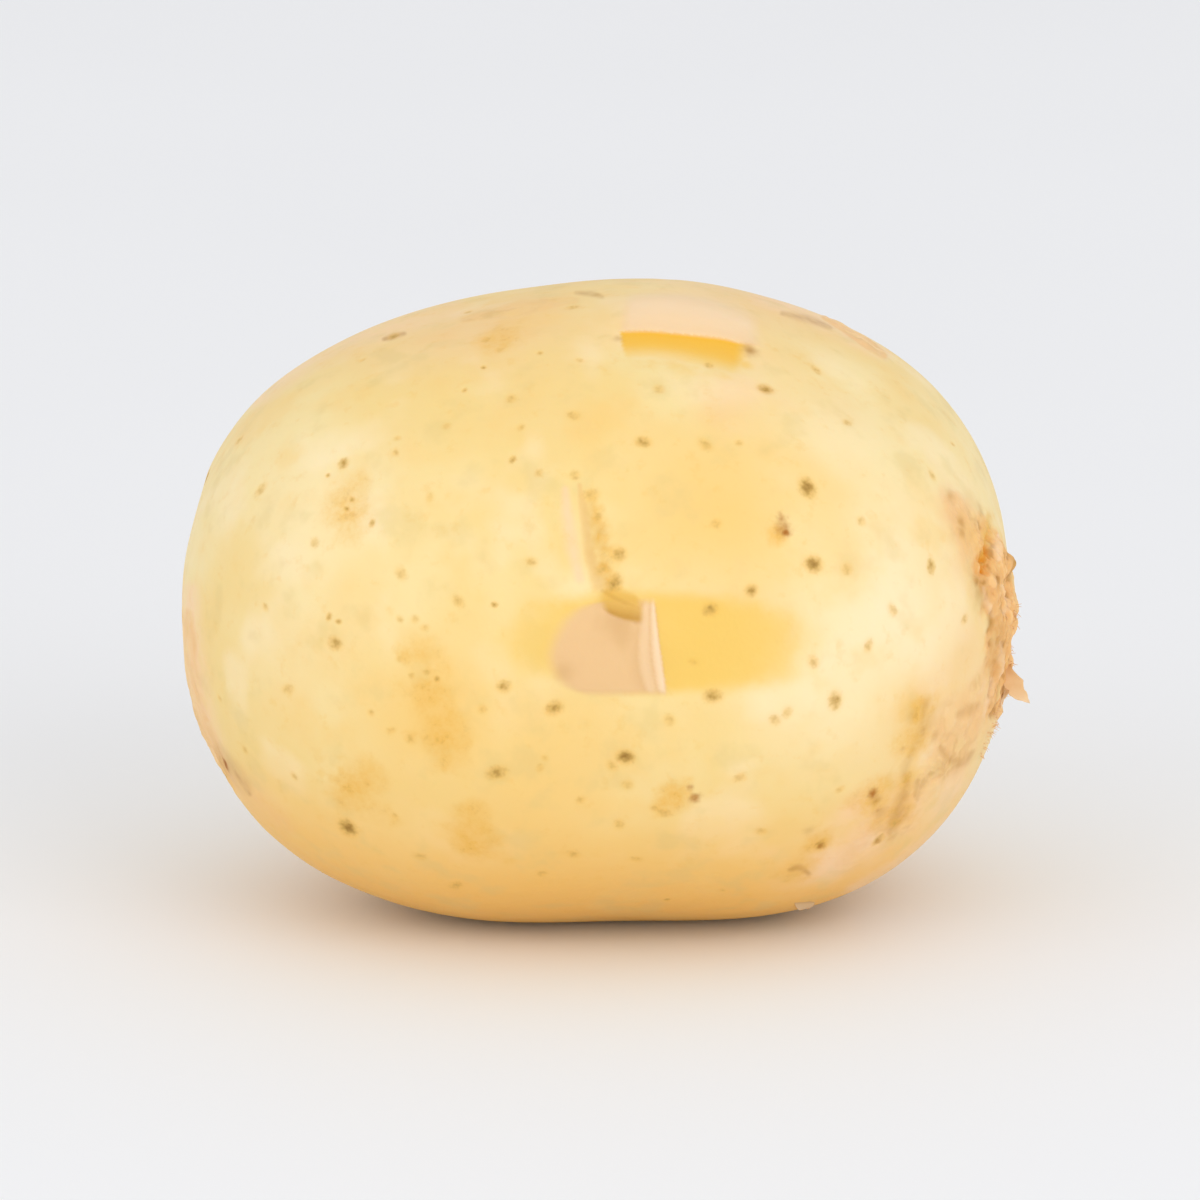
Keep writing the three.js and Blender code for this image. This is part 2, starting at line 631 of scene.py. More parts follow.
        # The brown tone also carries painted shade on the front curl and flap.
        loose = {
            Mark.FLAP: self.flap,
            Mark.CURL: self.curl,
            Mark.FOLD: self.fold,
            Mark.SHADE: self.shade,
        }
        colour = self.specked(g, g.toned(colour, loose), cork, corky)

        broken = g.math("MAXIMUM", g.math("MAXIMUM", rubbed, wound), corky)
        whole = g.blend(bare, g.blend(g.grain, self.smooth, self.grainy), self.moist)
        pores = g.noise(2.4 * MM, detail=2, offset=9.1)
        height = g.plus(g.times(pores, 0.6), g.times(g.fine, 0.12))
        height = g.plus(height, g.times(g.on[Mark.ROUGH], g.grain))
        return g.finish(
            colour,
            g.blend(broken, whole, self.rough),
            g.bump(height, self.pore_depth, self.pore_strength),
            Specular_IOR_Level=self.gloss,
            Subsurface_Weight=self.glow,
            Subsurface_Radius=self.glow_tint,
            Subsurface_Scale=self.glow_depth,
        )


@dataclass(frozen=True)
class LooseSkinFinish:
    """Thin skin that has come off the flesh, darker at its root in painted shade and paler at its tip."""

    name: str
    body: Colour = paint("E6B682")
    # Painted shade at the root, where the scrap leaves the skin.
    root: Colour = paint("CF9860")
    tip: Colour = paint("F4D2A8")
    smooth: float = 0.5
    rough: float = 0.65
    grain_size: float = 1.2 * MM
    grain_depth: float = 0.12 * MM
    grain_strength: float = 0.4
    gloss: float = 0.35
    glow: float = 0.1
    glow_depth: float = 1 * MM
    glow_tint: tuple[float, float, float] = (1.0, 0.6, 0.3)

    def material(self) -> bpy.types.Material:
        """Makes the material.

        Returns:
            The material.
        """
        g = Graph(self.name)
        grain = g.noise(self.grain_size, detail=3, roughness=0.6)
        outwards = g.share(TIP)
        # Darker towards the root: painted shade where the scrap leaves the skin.
        colour = g.mix(g.step(outwards, 0.0, 0.4), self.root, self.body)
        colour = g.mix(g.step(outwards, 0.4, 1.0), colour, self.tip)
        colour = g.mix(g.step(grain, 0.35, 0.7, 0.25), colour, self.tip)
        return g.finish(
            colour,
            g.blend(grain, self.smooth, self.rough),
            g.bump(grain, self.grain_depth, self.grain_strength),
            Specular_IOR_Level=self.gloss,
            Subsurface_Weight=self.glow,
            Subsurface_Radius=self.glow_tint,
            Subsurface_Scale=self.glow_depth,
        )

    def dress(self, piece: bpy.types.Object) -> None:
        """Gives a piece of loose skin this finish and its place in the frame.

        Args:
            piece: The piece.
        """
        take_alone(piece)
        bpy.ops.object.shade_smooth()
        piece.data.materials.clear()
        piece.data.materials.append(self.material())
        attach(piece, BODY)


@dataclass(frozen=True)
class FloorFinish:
    """The pale matt surface that the potato lies on."""

    colour: Colour = paint("F4F5F8")
    cloud: Colour = paint("EEEFF2")
    cloud_size: float = 150 * MM
    smooth: float = 0.6
    rough: float = 0.68
    grain_depth: float = 0.1 * MM
    grain_strength: float = 0.05
    gloss: float = 0.08

    def material(self) -> bpy.types.Material:
        """Makes the material.

        Returns:
            The material.
        """
        g = Graph("studio_floor")
        clouded = g.noise(self.cloud_size, detail=2)
        return g.finish(
            g.mix(g.step(clouded, 0.3, 0.7, 0.25), self.colour, self.cloud),
            g.blend(clouded, self.smooth, self.rough),
            g.bump(clouded, self.grain_depth, self.grain_strength),
            Specular_IOR_Level=self.gloss,
        )


@dataclass(frozen=True)
class Viewpoint:
    """The camera at the photograph's viewing angle, and the rays through the photograph's pixels."""

    aim: Vector
    elevation: float = math.radians(14)
    distance: float = 1.1
    pixels_per_mm: float = 4.79
    aim_pixel: Pixel = (462, 694)
    frame_pixels: float = 500
    sensor: float = 36.0
    clip_start: float = 0.05
    clip_end: float = 20

    @property
    def right(self) -> Vector:
        """The picture's direction to the right."""
        return Vector((1, 0, 0))

    @property
    def up(self) -> Vector:
        """The picture's upward direction."""
        return Vector((0, math.sin(self.elevation), math.cos(self.elevation)))

    @property
    def look(self) -> Vector:
        """The direction that the camera looks in."""
        return Vector((0, math.cos(self.elevation), -math.sin(self.elevation)))

    @property
    def eye(self) -> Vector:
        """The camera's place."""
        return self.aim - self.look * self.distance

    def ray(self, pixel: Pixel) -> Vector:
        """Sends a ray from the camera through a pixel.

        Args:
            pixel: The pixel.

        Returns:
            The ray's direction.
        """
        scale = MM / self.pixels_per_mm
        sideways = self.right * ((pixel[0] - self.aim_pixel[0]) * scale)
        upwards = self.up * ((self.aim_pixel[1] - pixel[1]) * scale)
        return (self.aim + sideways + upwards - self.eye).normalized()

    def pixels(self, points: np.ndarray) -> np.ndarray:
        """Finds where points are seen.

        Args:
            points: The points, a row each.

        Returns:
            Their pixels, a row each.
        """
        offset = points - np.array(self.eye)
        scale = self.distance / (offset @ np.array(self.look)) / MM * self.pixels_per_mm
        sideways = self.aim_pixel[0] + offset @ np.array(self.right) * scale
        return np.column_stack([sideways, self.aim_pixel[1] - offset @ np.array(self.up) * scale])

    def beside(self, pixel: Pixel, anchor: np.ndarray) -> np.ndarray:
        """Finds the point under a pixel that is as far away as another point.

        Args:
            pixel: The pixel.
            anchor: The other point.

        Returns:
            The point.
        """
        ray = self.ray(pixel)
        depth = (Vector(anchor) - self.eye).dot(self.look)
        return np.array(self.eye + ray * (depth / ray.dot(self.look)))

    def camera(self) -> None:
        """Adds the camera and makes it the scene's own."""
        bpy.ops.object.camera_add(location=self.eye)
        camera = bpy.context.object
        camera.name = "camera"
        camera.rotation_mode = "QUATERNION"
        camera.rotation_quaternion = self.look.to_track_quat("-Z", "Y")
        field_width = self.frame_pixels / self.pixels_per_mm * MM
        camera.data.sensor_width = self.sensor
        camera.data.lens = self.sensor * self.distance / field_width
        camera.data.clip_start = self.clip_start
        camera.data.clip_end = self.clip_end
        bpy.context.scene.camera = camera


@dataclass(frozen=True)
class Place:
    """A spot on the skin with axes of its own, across, up and out of the skin."""

    centre: np.ndarray
    across: np.ndarray
    up: np.ndarray
    out: np.ndarray

    def chart(self, points: np.ndarray, turn: float = 0.0) -> Chart:
        """Distances of points from the spot along its axes, in millimetres.

        Args:
            points: The points, a row each.
            turn: Angle by which the across axis is turned towards up.

        Returns:
            The distances across, up and out.
        """
        offset = (points - self.centre) / MM
        across = offset @ self.across
        up = offset @ self.up
        cos, sin = math.cos(turn), math.sin(turn)
        return across * cos + up * sin, up * cos - across * sin, offset @ self.out


@dataclass
class Tuber:
    """The potato's body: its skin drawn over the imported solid, with fine marks raised on it."""

    solid: bpy.types.Object
    view: Viewpoint
    finish: SkinFinish = field(default_factory=SkinFinish)
    name: str = "tuber_skin"
    sphere_levels: int = 7
    first_smoothing: int = 22
    last_smoothing: int = 12
    lump_size: float = 12 * MM
    lump_height: float = 0.4 * MM
    rest_margin: float = 2.5 * MM
    smoothing: float = 0.5
    outside: float = 0.1
    least_across: float = 0.3
    least_facing: float = 0.08
    middle: Vector = field(init=False)
    piece: bpy.types.Object = field(init=False)
    tree: BVHTree = field(init=False)
    points: np.ndarray = field(init=False)
    pixels: np.ndarray = field(init=False)
    relief: np.ndarray = field(init=False)
    shares: dict[Mark, np.ndarray] = field(init=False)

    def build(self) -> None:
        """Draws a sphere out to the solid's form and makes it lumpy."""
        low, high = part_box(NODE)
        self.middle = (low + high) / 2
        bpy.ops.mesh.primitive_ico_sphere_add(subdivisions=self.sphere_levels, radius=1.0)
        self.piece = bpy.context.object
        self.piece.name = self.name
        take_alone(self.piece)
        bpy.ops.transform.resize(value=(high - low) / 2)
        bpy.ops.transform.translate(value=self.middle)
        bpy.ops.object.transform_apply(location=True, rotation=True, scale=True)
        modify(
            self.piece,
            "SHRINKWRAP",
            target=self.solid,
            wrap_method="PROJECT",
            use_negative_direction=True,
            use_positive_direction=True,
        )
        modify(self.piece, "SMOOTH", factor=self.smoothing, iterations=self.first_smoothing)
        self.lump()
        self.read()

    def lump(self) -> None:
        """Raises gentle lumps all over, but for the spot that it lies on."""
        heights = read_points(self.piece.data)[:, 2]
        group = self.piece.vertex_groups.new(name="lumpy")
        for index, share in enumerate(smooth_step(heights, 0, self.rest_margin)):
            group.add([index], float(share), "REPLACE")
        clouds = bpy.data.textures.new("skin_lumps", "CLOUDS")
        clouds.noise_scale = self.lump_size
        clouds.noise_depth = 1
        modify(
            self.piece,
            "DISPLACE",
            texture=clouds,
            texture_coords="LOCAL",
            vertex_group=group.name,
            mid_level=0.5,
            strength=self.lump_height,
        )
        self.piece.vertex_groups.clear()

    def refine(self, near: Spots) -> None:
        """Splits the faces that lie near some spots.

        Args:
            near: Each spot's centre and reach.
        """
        mesh = self.piece.data
        middles = np.empty(len(mesh.polygons) * 3, np.float32)
        mesh.polygons.foreach_get("center", middles)
        middles = middles.reshape(-1, 3)
        chosen = np.zeros(len(middles), bool)
        for centre, reach in near:
            chosen |= ((middles - centre) ** 2).sum(1) < reach**2
        take_alone(self.piece)
        bpy.ops.object.mode_set(mode="EDIT")
        bpy.ops.mesh.select_mode(type="FACE")
        bpy.ops.mesh.select_all(action="DESELECT")
        bpy.ops.object.mode_set(mode="OBJECT")
        mesh.polygons.foreach_set("select", chosen)
        bpy.ops.object.mode_set(mode="EDIT")
        bpy.ops.mesh.subdivide(number_cuts=1)
        bpy.ops.mesh.select_all(action="SELECT")
        bpy.ops.mesh.quads_convert_to_tris()
        bpy.ops.object.mode_set(mode="OBJECT")

    def settle(self) -> None:
        """Smooths the split faces and starts the marks."""
        modify(self.piece, "SMOOTH", factor=self.smoothing, iterations=self.last_smoothing)
        self.read()
        self.relief = np.zeros(len(self.points))
        self.shares = {mark: np.zeros(len(self.points)) for mark in Mark}

    def read(self) -> None:
        """Takes up the mesh as it is now."""
        self.points = read_points(self.piece.data)
        self.pixels = self.view.pixels(self.points)
        bpy.context.view_layer.update()
        self.tree = BVHTree.FromObject(self.piece, bpy.context.evaluated_depsgraph_get())

    def touch(self, pixel: Pixel) -> np.ndarray:
        """Finds where the ray through a pixel meets the skin, or passes nearest to it.

        Args:
            pixel: The pixel.

        Returns:
            The point of the skin.
        """
        ray = self.view.ray(pixel)
        hit = self.tree.ray_cast(self.view.eye, ray)[0]
        if hit is None:
            hit = self.tree.find_nearest(self.view.eye + ray * self.view.distance)[0]
        return np.array(hit)

    def place(self, spot: np.ndarray) -> Place:
        """Sets up a place on the skin, with its axes level with the picture's.

        Args:
            spot: A point on the skin or close to it.

        Returns:
            The place.
        """
        centre, normal, _, _ = self.tree.find_nearest(Vector(spot))
        across = self.view.right - normal * normal.dot(self.view.right)
        if across.length < self.least_across:
            across = self.view.up.cross(normal)
        across.normalize()
        return Place(*(np.array(v) for v in (centre, across, normal.cross(across), normal)))

    def at(self, pixel: Pixel) -> Place:
        """The place on the skin under a pixel."""
        return self.place(self.touch(pixel))

    def towards(self, from_stem: float, around: float) -> Place:
        """The place on the skin at two angles, as the solid's own marks are given.

        Args:
            from_stem: Degrees from the stem end.
            around: Degrees round the long axis from the front, where 90 is up.

        Returns:
            The place.
        """
        polar, turn = math.radians(from_stem), math.radians(around)
        girth = math.sin(polar)
        way = Vector((math.cos(polar), -girth * math.cos(turn), girth * math.sin(turn)))
        hit = self.tree.ray_cast(self.middle + way * self.outside, -way)[0]
        return self.place(np.array(hit))

    def facing(self, place: Place) -> float:
        """How squarely a place faces the camera, from 1 to -1 where it faces away."""
        return -float(place.out @ np.array(self.view.look))

    def away(self, pixel: Pixel) -> np.ndarray:
        """How far each point of the skin is from the point under a pixel, in millimetres."""
        return np.linalg.norm(self.points - self.touch(pixel), axis=1) / MM

    def mark(self, mark: Mark, share: np.ndarray, height: float = 0.0) -> None:
        """Lays a mark on the skin.

        Args:
            mark: What it is.
            share: Its share at each point.
            height: How far it raises the skin, or sinks it where negative.
        """
        self.shares[mark] = np.maximum(self.shares[mark], share)
        self.relief += height * share

    def raise_marks(self) -> None:
        """Moves the skin by its marks' relief and stores their shares for the material."""
        mesh = self.piece.data
        normals = np.empty(len(self.points) * 3, np.float32)
        mesh.vertex_normals.foreach_get("vector", normals)
        moved = self.points + normals.reshape(-1, 3) * self.relief[:, None]
        moved[:, 2] = np.maximum(moved[:, 2], 0)
        write_points(mesh, moved)
        for mark, share in self.shares.items():
            write_share(mesh, mark.value, share)
        self.read()

    def dress(self) -> None:
        """Gives the skin its finish and its place in the frame."""
        take_alone(self.piece)
        bpy.ops.object.shade_smooth()
        self.piece.data.materials.clear()
        self.piece.data.materials.append(self.finish.material())
        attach(self.piece, BODY)
        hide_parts(NODE)


class Strength(Enum):
    """How plainly a lenticel shows: its width in millimetres and its share of cork."""

    FINE = (0.5, 0.72)
    FAINT = (1.05, 0.44)
    PLAIN = (1.15, 0.7)
    BOLD = (1.6, 0.95)
    SLIGHT = (0.72, 0.4)


@dataclass
class Lenticels:
    """The corky specks that the tuber breathes through."""

    front: dict[Strength, tuple[Pixel, ...]]
    seed: int = 11
    hidden_count: int = 420
    odds: tuple[float, ...] = (0.2, 0.26, 0.28, 0.12, 0.14)
    spacing: float = 4.2 * MM
    depth: float = 0.1 * MM
    sizes: tuple[float, float] = (0.85, 1.15)
    stretches: tuple[float, float] = (1.0, 1.6)
    through: float = 3
    places: list[tuple[Place, Strength]] = field(default_factory=list)

    def settle(self, tuber: Tuber) -> None:
        """Finds their places: the ones that the photograph shows, and a seeded rule elsewhere.

        Args:
            tuber: The tuber.
        """
        for strength, pixels in self.front.items():
            self.places += [(tuber.at(pixel), strength) for pixel in pixels]
        draw = np.random.default_rng(self.seed)
        for _ in range(self.hidden_count):
            around = draw.uniform(0, 360)
            from_stem = math.degrees(math.acos(draw.uniform(-1, 1)))
            strength = list(Strength)[draw.choice(len(Strength), p=self.odds)]
            place = tuber.towards(from_stem, around)
            gaps = (np.linalg.norm(place.centre - other.centre) for other, _ in self.places)
            crowded = any(gap < self.spacing for gap in gaps)
            if not crowded and tuber.facing(place) <= tuber.least_facing:
                self.places.append((place, strength))

    def spots(self, widths: float) -> Spots:
        """Their centres, each with a reach of so many of its widths."""
        return [(place.centre, strength.value[0] * widths * MM) for place, strength in self.places]

    def lay(self, tuber: Tuber) -> None:
        """Marks each speck on the skin, as an oval of its own shape.

        Args:
            tuber: The tuber.
        """
        draw = np.random.default_rng(self.seed)
        for place, strength in self.places:
            width, share = strength.value
            width *= draw.uniform(*self.sizes)
            stretch = draw.uniform(*self.stretches)
            across, up, out = place.chart(tuber.points, draw.uniform(0, math.pi))
            oval = np.exp(-((across / (width / 2 * stretch)) ** 2) - (up / (width / 2)) ** 2)
            tuber.mark(Mark.CORK, share * oval * (out > -self.through), -self.depth)


@dataclass(frozen=True)
class Tint:
    """A broad, soft area of another tone, or a stain. Its radius is in millimetres."""

    mark: Mark
    pixel: Pixel
    radius: float
    share: float
    broad: float = 1
    broad_wander: float = 0.45
    small_wander: float = 0.25
    reach: float = 2.5

    def spots(self, tuber: Tuber) -> Spots:
        """The place where the mesh is made finer, if it is small."""
        small = self.radius < self.broad
        return [(tuber.touch(self.pixel), 2 * self.radius * MM)] if small else []

    def lay(self, tuber: Tuber) -> None:
        """Marks the area on the skin, with an uneven outline.

        Args:
            tuber: The tuber.
        """
        gap = tuber.away(self.pixel)
        near = gap < self.reach * self.radius
        wander = self.broad_wander if self.radius > self.broad else self.small_wander
        gap[near] *= 1 + wander * ripple(tuber.points[near], self.radius * MM, 2)
        tuber.mark(self.mark, self.share * bell(gap, self.radius) * near)


@dataclass(frozen=True)
class Band:
    """A strip of the skin along a line of pixels, which goes on a little where it turns out of sight.

    Its half widths are in pixels, and its reach from the line is in millimetres.
    """

    line: tuple[Pixel, ...]
    halves: tuple[float, ...]
    reach: float
    steps: int = 36
    fade_from: float = 0.6

    def route(self, tuber: Tuber) -> np.ndarray:
        """Points along its middle, on the skin."""
        pixels = along_curve(np.array(self.line), np.linspace(0, 1, self.steps))
        return np.array([tuber.touch(tuple(pixel)) for pixel in pixels])

    def share(self, tuber: Tuber, inner: float = 0.5, outer: float = 1.25) -> np.ndarray:
        """Its share at each point of the skin.

        Args:
            tuber: The tuber.
            inner: Where it starts to fade, as a share of its half width.
            outer: Where it ends, as a share of its half width.

        Returns:
            The share, from 0 to 1.
        """
        shares = np.linspace(0, 1, self.steps)
        line = along_curve(np.array(self.line), shares)
        halves = np.interp(shares, np.linspace(0, 1, len(self.halves)), self.halves)
        margin = outer * halves.max()
        low, high = line.min(0) - margin, line.max(0) + margin
        near = np.flatnonzero(((tuber.pixels > low) & (tuber.pixels < high)).all(1))
        pixels, points = tuber.pixels[near], tuber.points[near]
        gap = np.full(len(near), np.inf)
        apart = np.full(len(near), np.inf)
        route = self.route(tuber)
        for i in range(self.steps - 1):
            step = line[i + 1] - line[i]
            along = np.clip((pixels - line[i]) @ step / (step @ step), 0, 1)
            offset = pixels - line[i] - along[:, None] * step
            half = halves[i] + (halves[i + 1] - halves[i]) * along
            gap = np.minimum(gap, np.hypot(*offset.T) / half)
            apart = np.minimum(apart, np.linalg.norm(points - route[i], axis=1) / MM)
        share = np.zeros(len(tuber.points))
        within = smooth_step(apart, self.reach, self.reach * self.fade_from)
        share[near] = smooth_step(gap, outer, inner) * within
        return share


@dataclass(frozen=True)
class Stroke:
    """A line on the skin: a rubbed streak, a torn edge or a soft rim."""

    mark: Mark
    line: tuple[Pixel, ...]
    half: float
    share: float
    reach: float = 4.0
    taper: float = 0.6
    steps: int = 18
    outer: float = 1.6
    unevenness: float = 0.5
    uneven_size: float = 1.0 * MM
    thin: float = 2
    fine_every: int = 3
    fine_reach: float = 0.8 * MM

    @property
    def band(self) -> Band:
        """Its strip of the skin, which tapers at both ends."""
        end = self.taper * self.half
        return Band(self.line, (end, self.half, end), self.reach, self.steps)

    def spots(self, tuber: Tuber) -> Spots:
        """Places along it where the mesh is made finer, if it is thin."""
        route = self.band.route(tuber)[:: self.fine_every]
        return [(point, self.fine_reach) for point in route] if self.half < self.thin else []

    def lay(self, tuber: Tuber) -> None:
        """Marks the line, with an uneven strength.

        Args:
            tuber: The tuber.
        """
        share = self.share * self.band.share(tuber, 0.0, self.outer)
        near = share > 0
        share[near] *= 1 + self.unevenness * ripple(tuber.points[near], self.uneven_size, 2)
        tuber.mark(self.mark, np.clip(share, 0, 1))


@dataclass(frozen=True)
class Patch:
    """A patch of skin between curves of pixels, raised and toned by profiles that run down or across it.

    Its heights and its reach are in millimetres, and its fades, at its left, right, top and bottom edges,
    are in pixels.
    """

    rows: tuple[tuple[Pixel, ...], ...]
    heights: Profile
    tones: tuple[tuple[Mark, Profile], ...]
    fades: tuple[float, float, float, float]
    sideways: bool = False
    reach: float = 14.0
    steps: int = 140
    margin: float = 1
    cell_reach: float = 0.6
    fine_every: int = 12
    fine_reach: float = 1.3 * MM

    def grid(self) -> np.ndarray:
        """Draws its pixels.

        Returns:
            The pixels, by steps across it and then by steps down it.
        """
        shares = np.linspace(0, 1, self.steps)
        curves = np.array([along_curve(np.array(row), shares) for row in self.rows])
        return np.array([along_curve(curves[:, step], shares) for step in range(self.steps)])

    def spots(self, tuber: Tuber) -> Spots:
        """Places all over it where the mesh is made finer."""
        pixels = self.grid()[:: self.fine_every, :: self.fine_every].reshape(-1, 2)
        return [(tuber.touch(tuple(pixel)), self.fine_reach) for pixel in pixels]

    def chart(self, tuber: Tuber) -> tuple[np.ndarray, ...]:
        """Finds the skin's points that lie in it.

        Args:
            tuber: The tuber.

        Returns:
            The points' numbers, their shares of the way across and down, and their share of the patch.
        """
        grid = self.grid()
        cells = grid.reshape(-1, 2)
        tree = KDTree(len(cells))
        for number, pixel in enumerate(cells):
            tree.insert((*pixel, 0), number)
        tree.balance()
        low, high = cells.min(0) - self.margin, cells.max(0) + self.margin
        inside = ((tuber.pixels > low) & (tuber.pixels < high)).all(1)
        middle = tuber.touch(tuple(cells.mean(0)))
        inside &= np.linalg.norm(tuber.points - middle, axis=1) < self.reach * MM
        numbers = np.flatnonzero(inside)
        found = [tree.find((*tuber.pixels[number], 0))[1:] for number in numbers]
        cell = np.array([hit[0] for hit in found])
        kept = np.array([hit[1] for hit in found]) < self.cell_reach
        numbers, cell = numbers[kept], cell[kept]
        column, line = cell // self.steps, cell % self.steps
        across, down = column / (self.steps - 1), line / (self.steps - 1)
        width = np.linalg.norm(grid[-1, line] - grid[0, line], axis=1)
        height = np.linalg.norm(grid[column, -1] - grid[column, 0], axis=1)
        share = np.ones(len(numbers))
        insets = (across * width, (1 - across) * width, down * height, (1 - down) * height)
        for inset, fade in zip(insets, self.fades):
            share *= smooth_step(inset, 0, fade)
        return numbers, across, down, share

    def lay(self, tuber: Tuber) -> None:
        """Raises and tones the skin.

        Args:
            tuber: The tuber.
        """
        numbers, across, down, share = self.chart(tuber)
        way = across if self.sideways else down
        tuber.relief[numbers] += between(self.heights, way) * MM * share
        for mark, profile in self.tones:
            tone = np.zeros(len(tuber.points))
            tone[numbers] = between(profile, way) * share
            tuber.mark(mark, tone)


@dataclass(frozen=True)
class CleanSpot:
    """An island of whole skin in the rubbed band."""

    pixel: Pixel
    radius: float

    def lay(self, tuber: Tuber) -> None:
        """Takes the rubbing away from the spot.

        Args:
            tuber: The tuber.
        """
        left = 1 - bell(tuber.away(self.pixel), self.radius)
        tuber.shares[Mark.SCUFF] *= left
        tuber.shares[Mark.ROUGH] *= left


@dataclass
class BarePatch:
    """A place where the skin is rubbed off the flesh. Its length and width are in millimetres."""

    pixel: Pixel
    length: float
    width: float
    turn: float = 0.0
    squareness: float = 2.6
    depth: float = 0.1 * MM
    softness: float = 0.14
    along: Profile = ((-1, 1), (1, 1))
    outer: float = 1.6
    through: float = 8
    wander: float = 0.06
    wander_size: float = 2.5 * MM
    rim_steps: int = 30
    fine_reach: float = 1.4 * MM

    def spots(self, tuber: Tuber) -> Spots:
        """Finds places round its rim where the mesh is made finer.

        Args:
            tuber: The tuber.

        Returns:
            Each place's centre and reach.
        """
        place = tuber.at(self.pixel)
        found = []
        for angle in np.linspace(0, 2 * math.pi, self.rim_steps):
            across = self.length / 2 * math.cos(angle) * place.across
            up = self.width / 2 * math.sin(angle) * place.up
            rim = tuber.tree.find_nearest(Vector(place.centre + (across + up) * MM))[0]
            found.append((np.array(rim), self.fine_reach))
        return found

    def lay(self, tuber: Tuber) -> None:
        """Sinks the flesh under the skin's edge, with an uneven rim.

        Args:
            tuber: The tuber.
        """
        place = tuber.at(self.pixel)
        across, up, out = place.chart(tuber.points, self.turn)
        across, up = 2 * across / self.length, 2 * up / self.width
        power = self.squareness
        rim = (np.abs(across) ** power + np.abs(up) ** power) ** (1 / power)
        near = (rim < self.outer) & (out > -self.through)
        rim[near] += self.wander * ripple(tuber.points[near], self.wander_size)
        share = smooth_step(rim, 1 + self.softness, 1 - self.softness) * near
        tuber.relief -= self.depth * share
        tuber.mark(Mark.FLESH, share * between(self.along, across))


@dataclass
class Tear:
    """The groove of torn skin above the front flap, with a pale lip on its left."""

    groove: Band = Band(((453.5, 646), (455.5, 660), (457.5, 674), (461, 688)), (1.5, 3, 3.5, 4), 6)
    groove_outer: float = 1.5
    groove_share: float = 0.75
    depth: float = 0.06 * MM
    # The lip's pale tone is partly painted highlight on the lifted edge of the skin, partly pale skin.
    lip: Band = Band(((447.5, 648), (448.5, 660), (450.5, 672), (453.5, 685)), (1.4, 2.6, 3, 2), 6)
    lip_outer: float = 1.8
    lip_share: float = 0.9
    lip_height: float = 0.02 * MM
    fine_every: int = 5
    fine_reach: float = 2.2 * MM

    def spots(self, tuber: Tuber) -> Spots:
        """Places along it where the mesh is made finer."""
        return [(point, self.fine_reach) for point in self.groove.route(tuber)[:: self.fine_every]]

    def lay(self, tuber: Tuber) -> None:
        """Sinks the groove and raises the lip.

        Args:
            tuber: The tuber.
        """
        groove = self.groove.share(tuber, 0.0, self.groove_outer)
        tuber.mark(Mark.TORN, self.groove_share * groove, -self.depth)
        lip = self.lip.share(tuber, 0.0, self.lip_outer)
        tuber.mark(Mark.BLUSH, self.lip_share * lip, self.lip_height)


@dataclass
class Scuff:
    """A band of rough, rubbed skin."""

    band: Band
    strength: float = 1.0
    inner: float = 0.3
    height: float = 0.16 * MM
    grain: float = 1.3 * MM
    fine_every: int = 2
    fine_reach: float = 2.3 * MM

    def spots(self, tuber: Tuber) -> Spots:
        """Places along it where the mesh is made finer."""
        return [(point, self.fine_reach) for point in self.band.route(tuber)[:: self.fine_every]]

    def lay(self, tuber: Tuber) -> None:
        """Roughens the band.

        Args:
            tuber: The tuber.
        """
        share = self.strength * self.band.share(tuber, self.inner)
        near = share > 0
        tuber.mark(Mark.SCUFF, share)
        tuber.mark(Mark.ROUGH, share)
        grain = ripple(tuber.points[near], self.grain, 4)
        tuber.relief[near] += self.height * share[near] * grain


